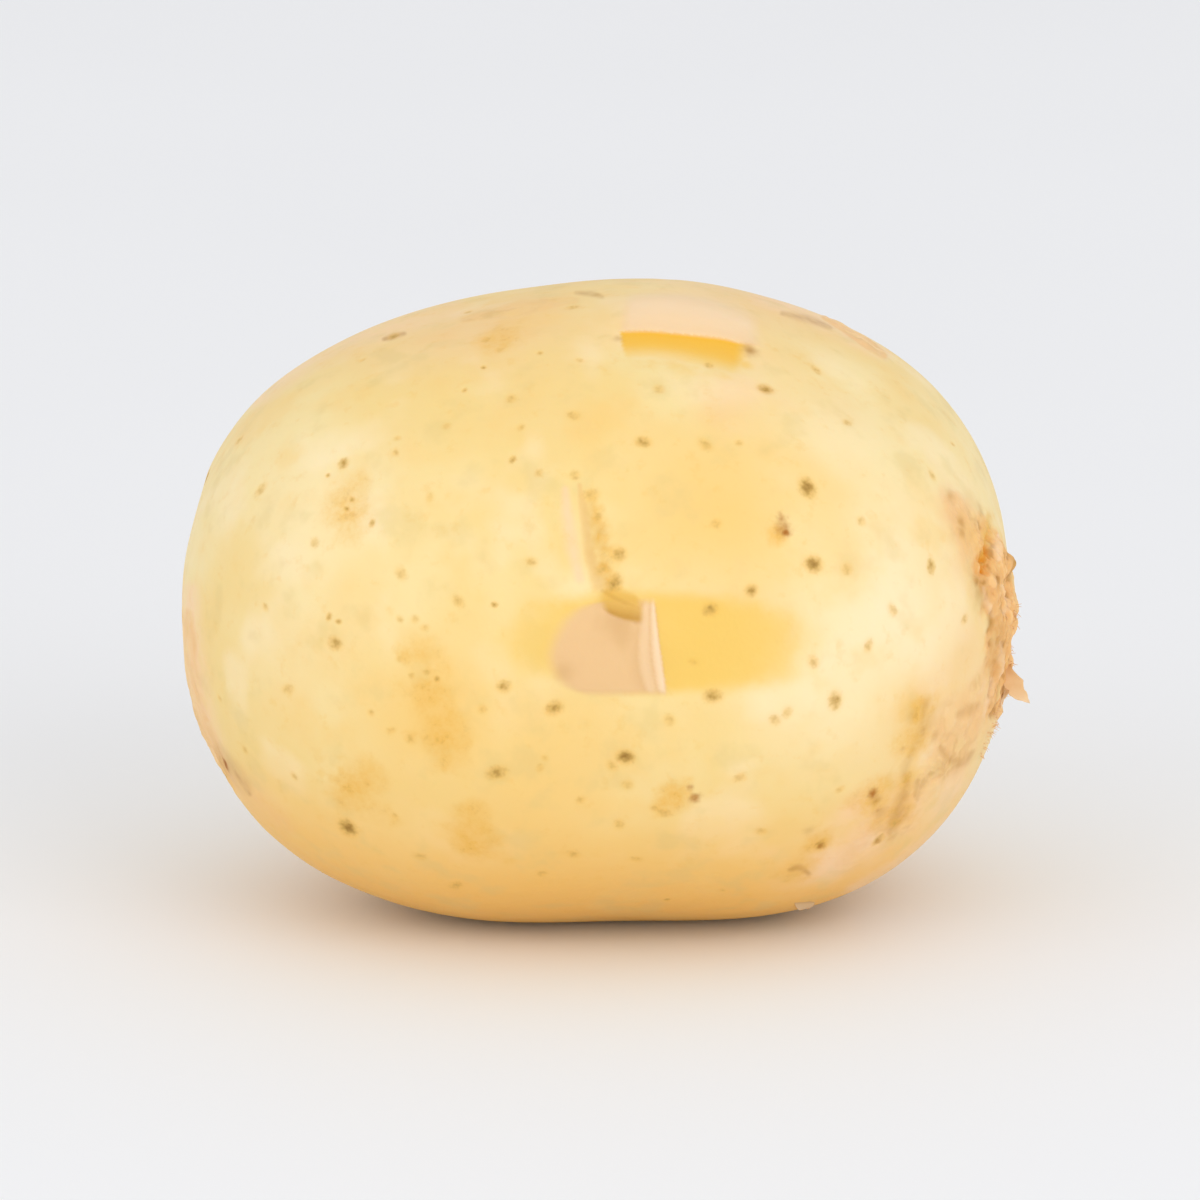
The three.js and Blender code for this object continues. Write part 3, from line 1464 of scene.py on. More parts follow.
@dataclass
class StolonScar:
    """The torn scar at the stem end: knobbly fibres and broken skin round a pit."""

    band: Band = Band(((612, 657), (622, 676), (628, 700), (629, 722), (627, 738)), (8, 13, 11, 9, 7), 13)
    pit: Band = Band(((625, 664), (624, 671), (622.6, 677), (622, 681.5)), (0.8, 1.5, 3.2, 2.6), 5)
    pit_depth: float = 0.5 * MM
    knob: Pixel = (632.6, 678.8)
    knob_radius: float = 0.8
    knob_height: float = 0.8 * MM
    notch: Pixel = (634, 689)
    notch_radius: float = 1.3
    notch_depth: float = 0.5 * MM
    sink: float = 0.12 * MM
    from_stem: float = 16
    around: float = 14
    radius: float = 6.0
    knot_size: float = 3.2 * MM
    knot_height: float = 0.45 * MM
    fine_height: float = 0.3 * MM
    spokes: float = 5.0
    ring_pitch: float = 0.5
    spoke_share: float = 0.4
    fibre_share: float = 0.8
    fibre_size: float = 1.5 * MM
    streak_contrast: float = 0.8
    knob_share: float = 0.9
    fray: float = 3
    fray_size: float = 1.8 * MM
    knot_share: float = 0.8
    knot_limits: tuple[float, float] = (-0.4, 0.6)
    pit_outer: float = 1.6
    pit_fray: float = 0.9
    pit_fray_size: float = 0.9 * MM
    pit_most: float = 1.3
    hollow_share: float = 0.2
    hollow_depths: tuple[float, float] = (0.1, 0.5)
    band_inner: float = 0.3
    disc_inner: float = 0.5
    through: float = 6
    fine_every: int = 4
    fine_reach: float = 2.8 * MM
    left_edge: Profile = (
        (640, 622), (655, 620), (668, 618), (676, 616), (683, 616), (689, 619), (695, 620), (703, 621),
        (722, 622.5), (732, 622), (745, 618), (760, 612),
    )
    left_fade: tuple[float, float] = (-3, 5)

    def spots(self, tuber: Tuber) -> Spots:
        """Finds places where the mesh is made finer.

        Args:
            tuber: The tuber.

        Returns:
            Each place's centre and reach.
        """
        centre = tuber.towards(self.from_stem, self.around).centre
        route = self.band.route(tuber)[:: self.fine_every]
        return [(centre, self.radius * MM)] + [(point, self.fine_reach) for point in route]

    def extent(self, tuber: Tuber, disc: np.ndarray, knob: np.ndarray) -> tuple[np.ndarray, np.ndarray]:
        """Finds how far the scar reaches, with a frayed edge on its left.

        Args:
            tuber: The tuber.
            disc: The share of the round scar at each point.
            knob: The share of the knob at each point.

        Returns:
            The scar's share at each point, and which points it may reach.
        """
        band = self.band.share(tuber, self.band_inner)
        inset = tuber.pixels[:, 0] - np.interp(tuber.pixels[:, 1], *zip(*self.left_edge))
        share = np.maximum.reduce([band, disc, self.knob_share * knob])
        near = share > 0
        inset[near] += self.fray * ripple(tuber.points[near], self.fray_size, 2)
        return share * smooth_step(inset, *self.left_fade), near

    def lay(self, tuber: Tuber) -> None:
        """Raises the torn knobs and fibres of the scar.

        Args:
            tuber: The tuber.
        """
        place = tuber.towards(self.from_stem, self.around)
        across, up, out = place.chart(tuber.points)
        distance = np.hypot(across, up)
        disc = smooth_step(distance, self.radius, self.radius * self.disc_inner) * (out > -self.through)
        knob = bell(tuber.away(self.knob), self.knob_radius)
        notch = bell(tuber.away(self.notch), self.notch_radius)
        share, near = self.extent(tuber, disc, knob)
        points = tuber.points[near]
        knots = np.zeros(len(share))
        knots[near] = ripple(points, self.knot_size, 3)
        share = np.clip(share * (1 + self.knot_share * knots), 0, 1)
        turn = np.arctan2(up[near], across[near])
        spokes = [np.cos(turn) * self.spokes, np.sin(turn) * self.spokes]
        wheel = np.column_stack([*spokes, distance[near] * self.ring_pitch])
        streak = np.zeros(len(share))
        streak[near] = self.spoke_share * ripple(wheel, 1.0, 2)
        streak[near] += self.fibre_share * ripple(points, self.fibre_size, 3)
        pit = self.pit.share(tuber, 0.0, self.pit_outer)
        pit[near] *= np.clip(1 + self.pit_fray * ripple(points, self.pit_fray_size, 3), 0, self.pit_most)
        hollows = self.hollow_share * smooth_step(-knots, *self.hollow_depths) * share
        tuber.mark(Mark.SCAR, share)
        tuber.mark(Mark.ROUGH, share)
        tuber.mark(Mark.PIT, np.clip(pit + hollows, 0, 1))
        tuber.mark(Mark.STREAK, np.clip(0.5 + self.streak_contrast * streak, 0, 1))
        knotty = self.knot_height * np.clip(knots, *self.knot_limits)
        tuber.relief += share * (knotty + self.fine_height * streak - self.sink)
        tuber.relief += self.knob_height * knob - self.notch_depth * notch - self.pit_depth * pit


@dataclass
class Eyes:
    """The creases and buds of the eyes that the photograph doesn't show, on the solid's own spiral."""

    count: int = 9
    turn: float = 137.5
    first_from_stem: float = 50
    first_around: float = 66
    last_from_stem: float = 168
    crowding: float = 0.75
    crease_length: float = 6.5
    crease_depth: float = 0.35 * MM
    bud_height: float = 0.4 * MM
    least_turn: float = 0.2
    reach: float = 9
    through: float = 6
    bow: float = 0.09
    brow: float = 1.0
    crease_breadth: float = 0.55
    bud_place: float = 0.2
    bud_spread: tuple[float, float] = (0.5, 1.6)
    fine_reach: float = 3.4 * MM
    tones: tuple[float, float, float] = (0.9, 0.8, 0.35)

    def places(self, tuber: Tuber) -> list[Place]:
        """Finds the hidden eyes.

        Args:
            tuber: The tuber.

        Returns:
            Their places.
        """
        found = []
        for index in range(self.count):
            share = (index / (self.count - 1)) ** self.crowding
            from_stem = self.first_from_stem + (self.last_from_stem - self.first_from_stem) * share
            place = tuber.towards(from_stem, self.first_around + index * self.turn)
            if tuber.facing(place) < -self.least_turn:
                found.append(place)
        return found

    def spots(self, tuber: Tuber) -> Spots:
        """Places where the mesh is made finer."""
        return [(place.centre, self.fine_reach) for place in self.places(tuber)]

    def lay(self, tuber: Tuber) -> None:
        """Sinks a curved crease on each eye's stem side and raises a small bud in it.

        Args:
            tuber: The tuber.
        """
        for place in self.places(tuber):
            stem = np.array([1.0, 0, 0]) - place.out * place.out[0]
            stem /= np.linalg.norm(stem)
            side = np.cross(place.out, stem)
            offset = (tuber.points - place.centre) / MM
            along, across, out = offset @ stem, offset @ side, offset @ place.out
            near = (np.hypot(along, across) < self.reach) & (out > -self.through)
            bow = along - self.brow + self.bow * across**2
            crease = bell(bow, self.crease_breadth) * bell(across, self.crease_length / 2) * near
            long, wide = self.bud_spread
            bud = np.exp(-((along + self.bud_place) ** 2) / long - across**2 / wide) * near
            stain, peach, cork = self.tones
            tuber.mark(Mark.STAIN, stain * crease)
            tuber.mark(Mark.PEACH, peach * bud)
            tuber.mark(Mark.CORK, cork * crease)
            tuber.relief += self.bud_height * bud - self.crease_depth * crease


@dataclass
class ScarFibres:
    """Fine torn fibres that stand out of the scar and of the rubbed skin under it."""

    seed: int = 5
    count: int = 120
    thickness: float = 0.09 * MM
    lengths: tuple[float, float] = (0.2 * MM, 0.65 * MM)
    line: tuple[Pixel, ...] = (
        (635, 698), (634.5, 706), (634, 714), (633, 722), (630, 734), (626, 746), (621, 757),
    )
    spread: float = 0.9 * MM
    bend: float = 0.5
    lean: float = 0.5
    droop: float = -0.4
    twist: float = 0.4
    steps: int = 5
    root: float = 0.15
    taper: float = 0.75
    # Its second colour is the painted shade at each fibre's root.
    finish: LooseSkinFinish = LooseSkinFinish("scar_fibre", paint("EFCFA4"), paint("E6B682"))

    def build(self, tuber: Tuber) -> bpy.types.Object:
        """Draws the fibres as tapering curves and turns them into one mesh.

        Args:
            tuber: The tuber that carries them.

        Returns:
            The piece.
        """
        draw = np.random.default_rng(self.seed)
        shares = np.sort(draw.uniform(0, 1, self.count))
        route = along_curve(np.array([tuber.touch(pixel) for pixel in self.line]), shares)
        bpy.ops.object.select_all(action="DESELECT")
        bpy.ops.curve.primitive_bezier_curve_add()
        piece = bpy.context.object
        piece.name = "scar_fibres"
        curve = piece.data
        curve.splines.clear()
        curve.bevel_depth = self.thickness / 2
        curve.bevel_resolution = 1
        curve.use_fill_caps = True
        for point in route:
            root = tuber.place(point + draw.normal(0, 1, 3) * self.spread)
            way = root.out + root.across * draw.normal(0, self.lean)
            way = way + root.up * draw.normal(self.droop, self.lean)
            way /= np.linalg.norm(way)
            side = np.cross(way, root.out) + draw.normal(0, self.twist, 3)
            length = draw.uniform(*self.lengths)
            spline = curve.splines.new("POLY")
            spline.points.add(self.steps)
            for step, control in enumerate(spline.points):
                share = step / self.steps
                offset = way * (share - self.root) + side * self.bend * share**2
                control.co = (*(root.centre + offset * length), 1)
                control.radius = 1 - self.taper * share
        take_alone(piece)
        bpy.ops.object.convert(target="MESH")
        piece = bpy.context.object
        self.finish.dress(piece)
        return piece


@dataclass
class Scrap:
    """A torn scrap of loose skin between rows of pixels, laid on the tuber or standing out beside it."""

    name: str
    rows: tuple[tuple[Pixel, Pixel], ...]
    lifts: Profile
    finish: LooseSkinFinish
    columns: int = 14
    lines: int = 22
    fray: float = 3.0
    seed: int = 21
    fray_scale: float = 0.35
    fray_power: int = 6
    smoothing: float = 0.4
    smooth_times: int = 2
    thickness: float = 0.12 * MM
    beside: Pixel | None = None

    def build(self, tuber: Tuber) -> bpy.types.Object:
        """Shapes a grid into the scrap and gives it thickness.

        Args:
            tuber: The tuber that carries it.

        Returns:
            The piece.
        """
        bpy.ops.object.select_all(action="DESELECT")
        bpy.ops.mesh.primitive_grid_add(
            x_subdivisions=self.columns, y_subdivisions=self.lines, size=1.0
        )
        piece = bpy.context.object
        piece.name = self.name
        grid = read_points(piece.data)
        across, down = grid[:, 0] + 0.5, 0.5 - grid[:, 1]
        left = along_curve(np.array([row[0] for row in self.rows]), down)
        right = along_curve(np.array([row[1] for row in self.rows]), down)
        pixels = left + (right - left) * across[:, None]
        edge = np.maximum(np.abs(2 * across - 1), np.abs(2 * down - 1))
        places = [Vector((*pixel, 0)) * self.fray_scale for pixel in pixels]
        noise.seed_set(self.seed)
        wander = np.array([noise.noise_vector(place)[:2] for place in places])
        pixels += self.fray * (edge**self.fray_power)[:, None] * wander
        if self.beside:
            spot = tuber.touch(self.beside)
            ground = np.array([tuber.view.beside(tuple(p), spot) for p in pixels])
            out = -np.array(tuber.view.look)
        else:
            ground = np.array([tuber.touch(tuple(p)) for p in pixels])
            out = tuber.at(tuple(pixels.mean(0))).out
        write_points(piece.data, ground + out * (between(self.lifts, down) * MM)[:, None])
        write_share(piece.data, TIP, down)
        modify(piece, "SMOOTH", factor=self.smoothing, iterations=self.smooth_times)
        modify(piece, "SOLIDIFY", thickness=self.thickness, offset=-1)
        modify(piece, "SUBSURF", levels=1, render_levels=1)
        self.finish.dress(piece)
        return piece


@dataclass
class Studio:
    """The floor, the soft light and the pale surroundings."""

    floor_size: float = 8.0
    sky: float = 0.83
    white: Colour = (1, 1, 1, 1)
    target: Spot = (0, 0, 0.025)
    key_power: float = 3.6
    key_size: float = 0.9
    key_place: Spot = (0.65, -0.85, 0.46)
    fill_power: float = 2.7
    fill_size: float = 1.0
    fill_place: Spot = (-0.85, -0.75, 0.4)

    def build(self) -> None:
        """Builds the studio."""
        bpy.ops.mesh.primitive_plane_add(size=self.floor_size)
        floor = bpy.context.object
        floor.name = "floor"
        floor.data.materials.append(FloorFinish().material())
        world = bpy.data.worlds.new("studio")
        world.use_nodes = True
        background = world.node_tree.nodes["Background"]
        background.inputs["Color"].default_value = self.white
        background.inputs["Strength"].default_value = self.sky
        scene = bpy.context.scene
        scene.world = world
        scene.view_settings.view_transform = "Standard"
        self.light("key", self.key_place, self.key_size, self.key_power)
        self.light("fill", self.fill_place, self.fill_size, self.fill_power)

    def light(self, name: str, place: Spot, size: float, power: float) -> None:
        """Adds a square soft light that faces the potato.

        Args:
            name: The light's name.
            place: Where it is.
            size: The length of its side.
            power: Its power in watts.
        """
        bpy.ops.object.light_add(type="AREA", location=place)
        light = bpy.context.object
        light.name = name
        light.data.shape = "SQUARE"
        light.data.size = size
        light.data.energy = power
        light.rotation_mode = "QUATERNION"
        way = Vector(self.target) - Vector(place)
        light.rotation_quaternion = way.to_track_quat("-Z", "Y")


def viewpoint(solid: bpy.types.Object) -> Viewpoint:
    """Aims the camera at the middle of the solid's picture.

    Args:
        solid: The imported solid.

    Returns:
        The camera's viewpoint.
    """
    first = Viewpoint(aim=Vector((0, 0, 0)))
    points = read_points(solid.data)
    middle = Vector((0, 0, 0))
    for axis in (first.right, first.up):
        spread = points @ np.array(axis)
        middle += axis * float(spread.min() + spread.max()) / 2
    return Viewpoint(aim=middle)


# The lenticels that the photograph shows, by how plainly they show.
SPECKS: dict[Strength, tuple[Pixel, ...]] = {
    Strength.BOLD: ((548.5, 647), (551, 679), (472.5, 759.5), (357, 789)),
    Strength.PLAIN: (
        (508, 698), (560, 736), (509, 734), (554, 796), (578, 794), (419, 766), (422, 730), (443, 739),
        (351.5, 712), (355, 637), (480, 628), (531, 606), (376, 584), (470, 675), (468, 687), (525, 690),
        (600, 680),
    ),
    Strength.FAINT: (
        (614, 702), (529, 790.5), (520, 768), (454, 777.5), (451, 800), (438, 808), (402, 813), (383, 752),
        (413, 739.5), (403, 694.5), (379, 683), (320.5, 648), (425, 610), (506, 629), (510.5, 662),
        (565, 681), (571, 661), (486.5, 606), (565, 620), (407, 574), (491, 744), (451.5, 642), (332, 731),
        (433.5, 678),
        (458, 650), (463, 681), (466, 690), (585, 787), (590, 768), (343, 670), (600.5, 642), (540, 741),
        (535, 744), (467, 763), (473.5, 771), (461, 659), (485, 781), (489, 783), (551, 720), (574, 713),
        (584, 698), (311.5, 627.5), (387, 801), (552, 598), (451, 617), (414.5, 585.5), (507.5, 596),
        (450.5, 572), (470, 787.5),
    ),
    Strength.SLIGHT: (
        (420, 590), (398, 621.5), (377.5, 626.5), (377, 632.5), (363, 594), (436.5, 641), (322.5, 697),
        (378.5, 702), (385, 702), (389, 705.5), (383.5, 725.5), (390, 724), (303.5, 735), (314, 756.5),
        (334.5, 767.5), (376.5, 784), (453.5, 594), (562, 773), (477, 802), (437, 764), (439, 760),
        (394.5, 752), (375, 748.5), (366.5, 741), (378.5, 718.5), (520, 628.5), (513, 815), (501, 720),
        (391, 651), (429, 622), (609, 629),
    ),
    Strength.FINE: (
        (356.5, 656), (358.5, 652), (348.6, 642), (367, 662), (394, 727), (418, 696), (405.5, 606.5),
        (349, 701), (353, 703), (437, 591), (413.5, 597), (425.5, 635.5), (490, 819),
    ),
}

# Loose skin at the scar and at the bottom, each darker at its root in painted shade.
TATTER = LooseSkinFinish("scar_tatter", paint("E8BC88"), paint("D09C62"), paint("F6D8B0"))
FLAKE = LooseSkinFinish("bottom_flake", paint("E6C498"), paint("D2A870"), paint("EACBA4"))
LOOSE_SKIN = (
    Scrap(
        name="scar_tatter_long",
        rows=(
            ((628.5, 720), (633, 720)),
            ((629, 725.5), (636, 725)),
            ((630.5, 731), (639, 730.5)),
            ((634, 734.5), (641, 734.8)),
            ((639.5, 736), (641.8, 736.5)),
        ),
        lifts=((0, -0.8), (0.3, 0.0), (1, 0.5)),
        finish=TATTER,
        beside=(631, 726),
    ),
    Scrap(
        name="scar_tatter_short",
        rows=(
            ((630, 724), (632.5, 725)),
            ((630.5, 729), (632.2, 730)),
            ((629.5, 733), (630.6, 734)),
            ((627.8, 737), (628.4, 738)),
        ),
        lifts=((0, -0.8), (0.4, 0.0), (1, 0.4)),
        finish=TATTER,
        beside=(629, 735),
    ),
    Scrap(
        name="bottom_flake",
        rows=(
            ((542.5, 820), (551.5, 819.4)),
            ((543, 821.2), (551, 820.6)),
            ((544.5, 822.2), (549.5, 821.8)),
        ),
        lifts=((0, 0.0), (0.5, 0.12), (1, 0.25)),
        finish=FLAKE,
        lines=8,
        fray=0.9,
    ),
    ScarFibres(),
)

# The bare strip and the flap at the top, and the flap and the curl at the front.
FLAPS = (
    Patch(
        rows=(
            ((469, 582), (482, 581.8), (496, 583), (506, 584), (514, 585), (521, 587), (529, 588.5)),
            ((469.5, 589), (483, 588.5), (496, 590), (506, 592), (514, 594), (520, 596), (527, 597)),
            ((472, 597), (484, 597), (496, 599), (506, 601), (514, 602.5), (519, 603), (525, 603.5)),
        ),
        heights=((0, -0.1), (0.4, -0.05), (1, 0)),
        tones=(
            (Mark.FLESH, ((0, 1), (0.45, 0.85), (0.75, 0.4), (1, 0))),
            # Painted shade: deepest under the flap's edge, fading down the strip.
            (Mark.PIT, ((0, 0.95), (0.35, 0.75), (0.65, 0.2), (0.85, 0))),
        ),
        fades=(2.5, 16, 0.01, 5),
    ),
    Patch(
        rows=(
            ((472, 564), (490, 563.5), (507, 565), (519, 569), (530, 574)),
            ((470, 574), (488, 573), (504, 575), (517, 579), (531, 584)),
            ((468, 583), (482, 582.8), (496, 584), (506, 585), (514, 586), (522, 588), (532, 590)),
        ),
        heights=((0, 0), (0.5, 0.05), (0.85, 0.14), (1, 0.15)),
        tones=(
            (Mark.FLAP, ((0, 0.2), (0.4, 0.45), (0.8, 0.8), (1, 0.85))),
            (Mark.FOLD, ((0, 0.4), (0.4, 0.75), (0.7, 0.6), (1, 0.4))),
        ),
        fades=(5, 10, 7, 1.6),
    ),
    Patch(
        rows=(
            ((465, 693.5), (475, 692.5), (485.2, 692)),
            ((450, 697), (469, 698), (486, 700)),
            ((442, 704.5), (465, 707.5), (487.2, 710)),
            ((437.5, 717), (463, 718.5), (488.6, 720)),
            ((442, 728), (466, 728.5), (489.8, 728.5)),
            ((454, 735), (472, 735), (490.4, 734.5)),
        ),
        heights=(
            (0, 0.04), (0.2, 0.1), (0.45, 0.15), (0.7, 0.15), (0.78, 0.08), (0.83, 0.2), (0.87, 0.22),
            (0.9, 0.16), (0.94, 0.3), (0.98, 0.28), (1, 0.25),
        ),
        tones=(
            (Mark.FLAP, ((0, 0.95), (0.2, 1), (1, 1))),
            (
                Mark.FOLD,
                ((0, 0), (0.78, 0), (0.83, 0.35), (0.87, 0.3), (0.9, 0.12), (0.94, 0.75), (1, 0.85)),
            ),
            # Painted shadow lines in the dips beside the fold's ridges.
            (
                Mark.SHADE,
                ((0, 0), (0.68, 0), (0.78, 0.12), (0.81, 0.02), (0.87, 0.03), (0.9, 0.1), (0.925, 0), (1, 0)),
            ),
        ),
        fades=(8, 1.6, 6, 6),
        sideways=True,
    ),
    Patch(
        rows=(
            ((463, 686), (470, 687), (477, 689.5)),
            ((460, 691), (470, 692.5), (480, 694)),
            ((461, 695.5), (471, 698), (481.5, 699)),
            ((463, 699), (472, 703), (481, 704.5)),
        ),
        heights=((0, 0), (0.4, 0.14), (0.75, 0.24), (1, 0.2)),
        tones=(
            (Mark.CURL, ((0, 0.3), (0.3, 0.85), (0.8, 0.9), (1, 0.8))),
            # Painted shade along the curl's lower edge, where it rolls under.
            (Mark.SHADE, ((0, 0), (0.5, 0.06), (0.7, 0.32), (0.85, 0.6), (1, 0.55))),
        ),
        fades=(5, 4, 5, 2.2),
    ),
)

# The bare flesh at the front.
PATCHES = (
    BarePatch(
        pixel=(488.5, 712.2),
        length=25.8,
        width=8.2,
        turn=-0.05,
        squareness=2.8,
        softness=0.3,
        along=((-1, 0.6), (-0.5, 0.75), (0.02, 1), (0.3, 0.95), (0.8, 0.7), (1, 0.5)),
    ),
)

# The rubbed bands, the ones at the scar first.
SCUFFS = (
    Scuff(Band(((629, 712), (624, 730), (613, 747), (603, 764)), (4, 8, 14, 12), 12)),
    Scuff(Band(((603, 764), (595, 775), (583, 788), (566, 801)), (10, 12, 11, 9), 12), 0.55),
    Scuff(Band(((609, 653), (614, 663), (616.5, 673), (617, 681)), (5, 8, 7, 4), 4), 0.9),
    Scuff(Band(((533, 566), (541, 568), (550, 572)), (2, 3, 2), 2.5), 0.9),
    Scuff(Band(((556, 576), (568, 583), (580, 592)), (2, 4, 2), 3), 1.0),
    Scuff(Band(((290, 700), (293, 735), (303, 765), (320, 788)), (3, 6, 9, 5), 7), 0.8),
    Scuff(Band(((405, 577), (430, 572), (452, 569)), (2, 4, 2), 5), 0.4),
)

# Areas of other tones, by what they are: the pixel, the radius and the share of each.
TONED_AREAS: dict[Mark, tuple[tuple[Pixel, float, float], ...]] = {
    Mark.PALE: (
        # The first four, broad ones, at the right of the front and at the left, lie where the skin looks
        # brightest: partly painted highlight, partly paler skin.
        ((578, 698), 11, 0.9), ((562, 625), 8, 0.5), ((340, 655), 9, 0.4), ((334, 712), 7, 0.35),
        ((511, 609), 2.6, 0.6), ((598, 757.5), 1.2, 0.8),
    ),
    Mark.GOLD: (
        ((515, 660), 8, 1.0), ((390, 745), 8, 1.0), ((440, 765), 9, 0.9), ((338, 795), 8, 1.0),
        ((592.5, 736), 1.8, 1.0),
    ),
    Mark.BLUSH: (
        ((569, 781), 1.5, 0.9), ((560, 803), 3.4, 1.0), ((574, 794), 3.0, 1.0), ((590, 786), 3.0, 0.7),
        ((608, 774), 3.4, 0.7), ((498, 573), 5.5, 0.6), ((522, 606), 3.0, 0.5),
    ),
    Mark.CURL: (
        ((616, 667), 2.0, 0.3),
    ),
    Mark.FLESH: (
        ((522.5, 596), 0.9, 0.6),
    ),
    Mark.PEACH: (
        # The first two lie along the top outline: partly painted sheen, partly peach skin.
        ((420, 578), 9, 0.6), ((520, 566), 9, 0.5), ((511, 611), 2.4, 0.35), ((610, 748), 7, 0.7),
        ((582, 786), 5, 0.7), ((612, 659), 2.6, 1.0), ((615, 672), 2.8, 1.0),
    ),
    Mark.STAIN: (
        ((356, 655), 3.4, 0.5), ((398, 752), 2.8, 0.7), ((391, 732), 2.6, 0.6), ((388, 716), 2.0, 0.5),
        ((362, 772), 3.2, 0.7), ((409, 795), 2.2, 0.8), ((408, 783), 1.6, 0.6), ((493, 776), 1.9, 0.85),
        ((420, 586), 2.6, 0.6), ((576, 777), 2.4, 0.8), ((593, 752), 2.2, 0.8), ((595, 741), 1.8, 0.75),
        ((587, 783), 2.2, 0.85), ((589, 770), 1.6, 0.7), ((553, 796), 1.6, 0.8), ((546, 806), 2.0, 0.7),
        ((536.5, 667.5), 1.0, 0.8),
    ),
    Mark.RUST: (
        ((499.6, 772), 0.45, 0.55), ((501.6, 776.4), 0.6, 0.68), ((575.6, 774.6), 0.6, 0.75),
        ((577.6, 781.5), 0.6, 0.35), ((554, 796.5), 0.6, 0.5), ((577.8, 794.6), 0.45, 0.4),
        ((596.8, 748), 0.55, 0.35), ((588.4, 756), 0.5, 0.35), ((537.6, 660), 0.65, 0.5),
        ((538.2, 664), 0.95, 0.52), ((539.2, 665.8), 0.5, 0.85), ((306, 762.5), 0.7, 0.9),
        ((302, 758.5), 0.5, 0.6),
    ),
    Mark.SHADE: (
        # The first three: painted shade on the front flap under the curl, a darker spot at the flap's lower
        # left, and painted shade in the curl's end. The others are brown marks.
        ((470, 705), 1.5, 0.22), ((447, 724), 0.9, 0.2), ((477.5, 701.5), 0.5, 0.5),
        ((462, 665.5), 0.55, 0.22), ((463, 672), 0.6, 0.15), ((577, 777.5), 0.5, 0.5),
        ((579, 782.5), 0.6, 0.3), ((549, 790), 0.5, 0.25), ((597.5, 738), 0.6, 0.3),
        ((592, 742), 0.6, 0.2), ((601.5, 750.5), 0.5, 0.3), ((603, 764), 0.7, 0.25),
        ((524.5, 590), 0.6, 0.75), ((469.5, 585), 0.4, 0.35), ((531, 606), 0.5, 0.5),
        ((612.5, 661.5), 0.55, 0.5), ((612.7, 666), 0.5, 0.45), ((620.5, 655.5), 0.6, 0.25),
        ((619, 686.5), 0.5, 0.75), ((628, 686), 0.7, 0.45), ((625.5, 703.5), 0.7, 0.7),
        ((628.5, 711.5), 0.7, 0.5), ((628.5, 708), 1.4, 0.3), ((627, 719), 1.6, 0.34),
        ((633, 679.5), 1.0, 0.75), ((620.5, 691), 1.2, 0.5), ((598, 745), 1.2, 0.2),
        ((608, 650.5), 0.6, 0.35),
    ),
}
TINTS = tuple(Tint(mark, *area) for mark, areas in TONED_AREAS.items() for area in areas)

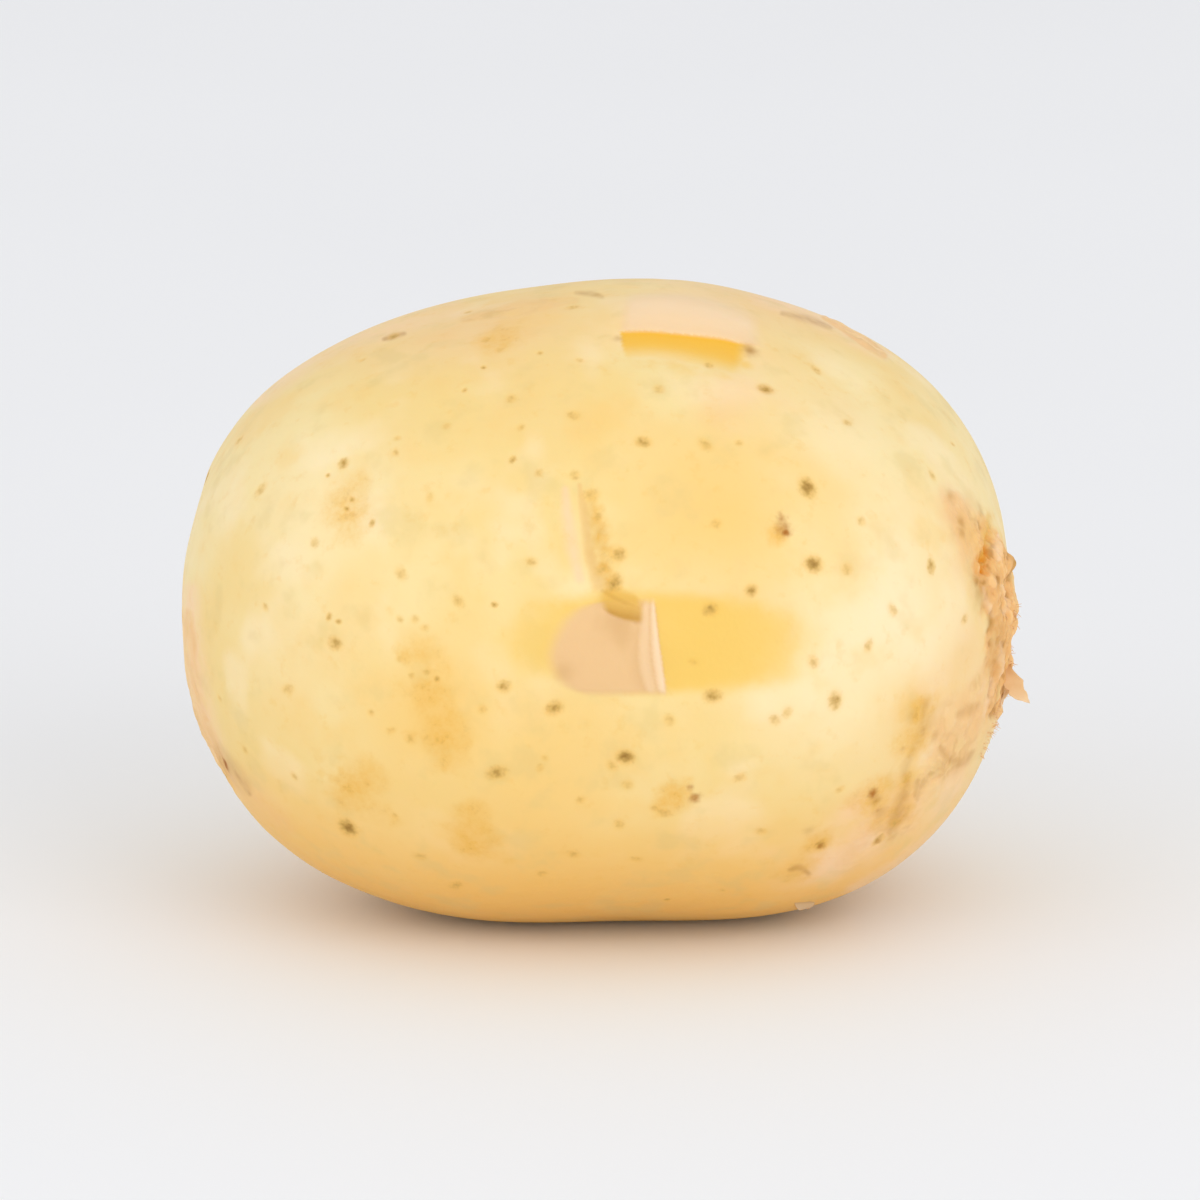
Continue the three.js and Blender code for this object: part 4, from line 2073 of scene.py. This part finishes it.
# Lines on the skin, by what they are: the pixels, the half width, the share and any reach of each.
TONED_LINES: dict[Mark, tuple[tuple, ...]] = {
    Mark.STAIN: (
        (((459, 652), (462, 666), (464.5, 680), (468, 690)), 7, 0.62),
    ),
    Mark.SHADE: (
        # The first: a brown smudge along the tear's groove, partly painted shade in it. The second: painted
        # shade along the curl's upper edge. The others are brown streaks and specks.
        (((457.5, 655), (459.5, 668), (462, 680), (466, 690)), 4.5, 0.13),
        (((463, 690), (468, 693), (474, 696), (478, 697.5)), 1.4, 0.22),
        (((604, 756), (608, 760.5), (613, 761.5), (617, 757.5)), 2.6, 0.32),
        (((611, 742), (615, 740), (619, 738)), 3.0, 0.25),
        (((591, 759), (589, 766), (590, 772)), 2.2, 0.25), (((594.5, 769), (593.5, 776)), 1.5, 0.3),
        (((589, 773), (586.5, 782), (583, 791)), 3.2, 0.3),
        (((597, 740), (596, 749), (592, 757)), 2.6, 0.2),
        (((601, 766), (597, 770), (594, 777)), 1.6, 0.25),
        (((303, 756), (308, 764), (315, 773)), 4, 0.26), (((586.5, 784), (583.5, 790)), 1.6, 0.22),
        (((541, 806.5), (545, 805.5), (549, 808)), 1.6, 0.4),
        (((372, 585.3), (376, 584), (380.5, 583)), 1.4, 0.55),
        (((452, 566), (459, 566.5), (463, 567.8)), 1.4, 0.35),
        (((538, 574.5), (549, 577), (558, 580.5)), 1.7, 0.42),
        (((310, 765), (313, 771), (316, 775)), 1.6, 0.35),
    ),
    Mark.FLESH: (
        (((474, 595), (495, 596.5), (516, 601)), 5, 0.3),
    ),
    Mark.FOLD: (
        (((627.8, 667), (627.8, 672), (628.6, 677)), 1.4, 0.45),
        (((622, 689), (624, 696), (626.5, 701)), 1.4, 0.35),
        (((630.5, 688), (632, 694), (631, 700)), 1.2, 0.4),
        (((630, 712), (629, 719), (628.5, 727)), 1.2, 0.4),
        (((626, 727), (625, 734), (622, 742)), 1.6, 0.35),
    ),
    Mark.CURL: (
        (((624.5, 658), (623.5, 667), (622.6, 675)), 2.2, 0.65),
    ),
    Mark.BLUSH: (
        # Pale pink rims along the outline: partly painted sheen where the skin turns away, partly rubbed
        # skin.
        (((291, 690), (292, 715), (296, 740), (303, 758)), 6, 0.8, 12),
        (((318, 611), (345, 592), (376, 580), (402, 572)), 6, 0.6, 12),
        (((528, 568), (552, 575), (580, 591)), 6, 0.7, 10),
        (((616, 775), (602, 792), (585, 806), (567, 815)), 5, 0.7, 12),
    ),
    Mark.PEACH: (
        (((306, 763), (317, 776), (332, 789)), 6, 0.7, 10),
    ),
}
STROKES = tuple(Stroke(mark, *line) for mark, lines in TONED_LINES.items() for line in lines)

# Islands of whole skin in the rubbed band.
CLEAN_SPOTS = (CleanSpot((598, 757.5), 1.5), CleanSpot((603, 777), 2.2), CleanSpot((569, 780), 1.6))


def fine_spots(marks: Iterable[object], tuber: Tuber) -> Spots:
    """The places where some marks need a finer mesh."""
    return [spot for mark in marks for spot in mark.spots(tuber)]


def main() -> None:
    """Builds the potato and its studio in order."""
    logging.basicConfig(level=logging.INFO, format="%(name)s: %(message)s")
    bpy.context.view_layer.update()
    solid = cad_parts[NODE]
    bpy.ops.object.select_all(action="DESELECT")

    view = viewpoint(solid)
    view.camera()

    tuber = Tuber(solid, view)
    tuber.build()
    lenticels = Lenticels(SPECKS)
    lenticels.settle(tuber)
    eyes = Eyes()
    sharp = (*FLAPS, Tear(), StolonScar(), *STROKES)
    finest = fine_spots((*sharp, *TINTS), tuber)
    fine = fine_spots((*PATCHES, *SCUFFS, eyes), tuber)
    tuber.refine(finest + fine + lenticels.spots(FINE_WIDTHS))
    tuber.refine(finest + lenticels.spots(FINEST_WIDTHS))
    tuber.settle()
    for mark in (*TINTS, *SCUFFS, *CLEAN_SPOTS, *PATCHES, *sharp, eyes, lenticels):
        mark.lay(tuber)
    tuber.raise_marks()
    faces = len(tuber.piece.data.polygons)
    log.info("%s: %d triangles, %d lenticels", tuber.name, faces, len(lenticels.places))

    for loose in LOOSE_SKIN:
        piece = loose.build(tuber)
        log.info("%s: %d faces", piece.name, len(piece.data.polygons))
    tuber.dress()

    Studio().build()


if __name__ == "__main__":
    main()
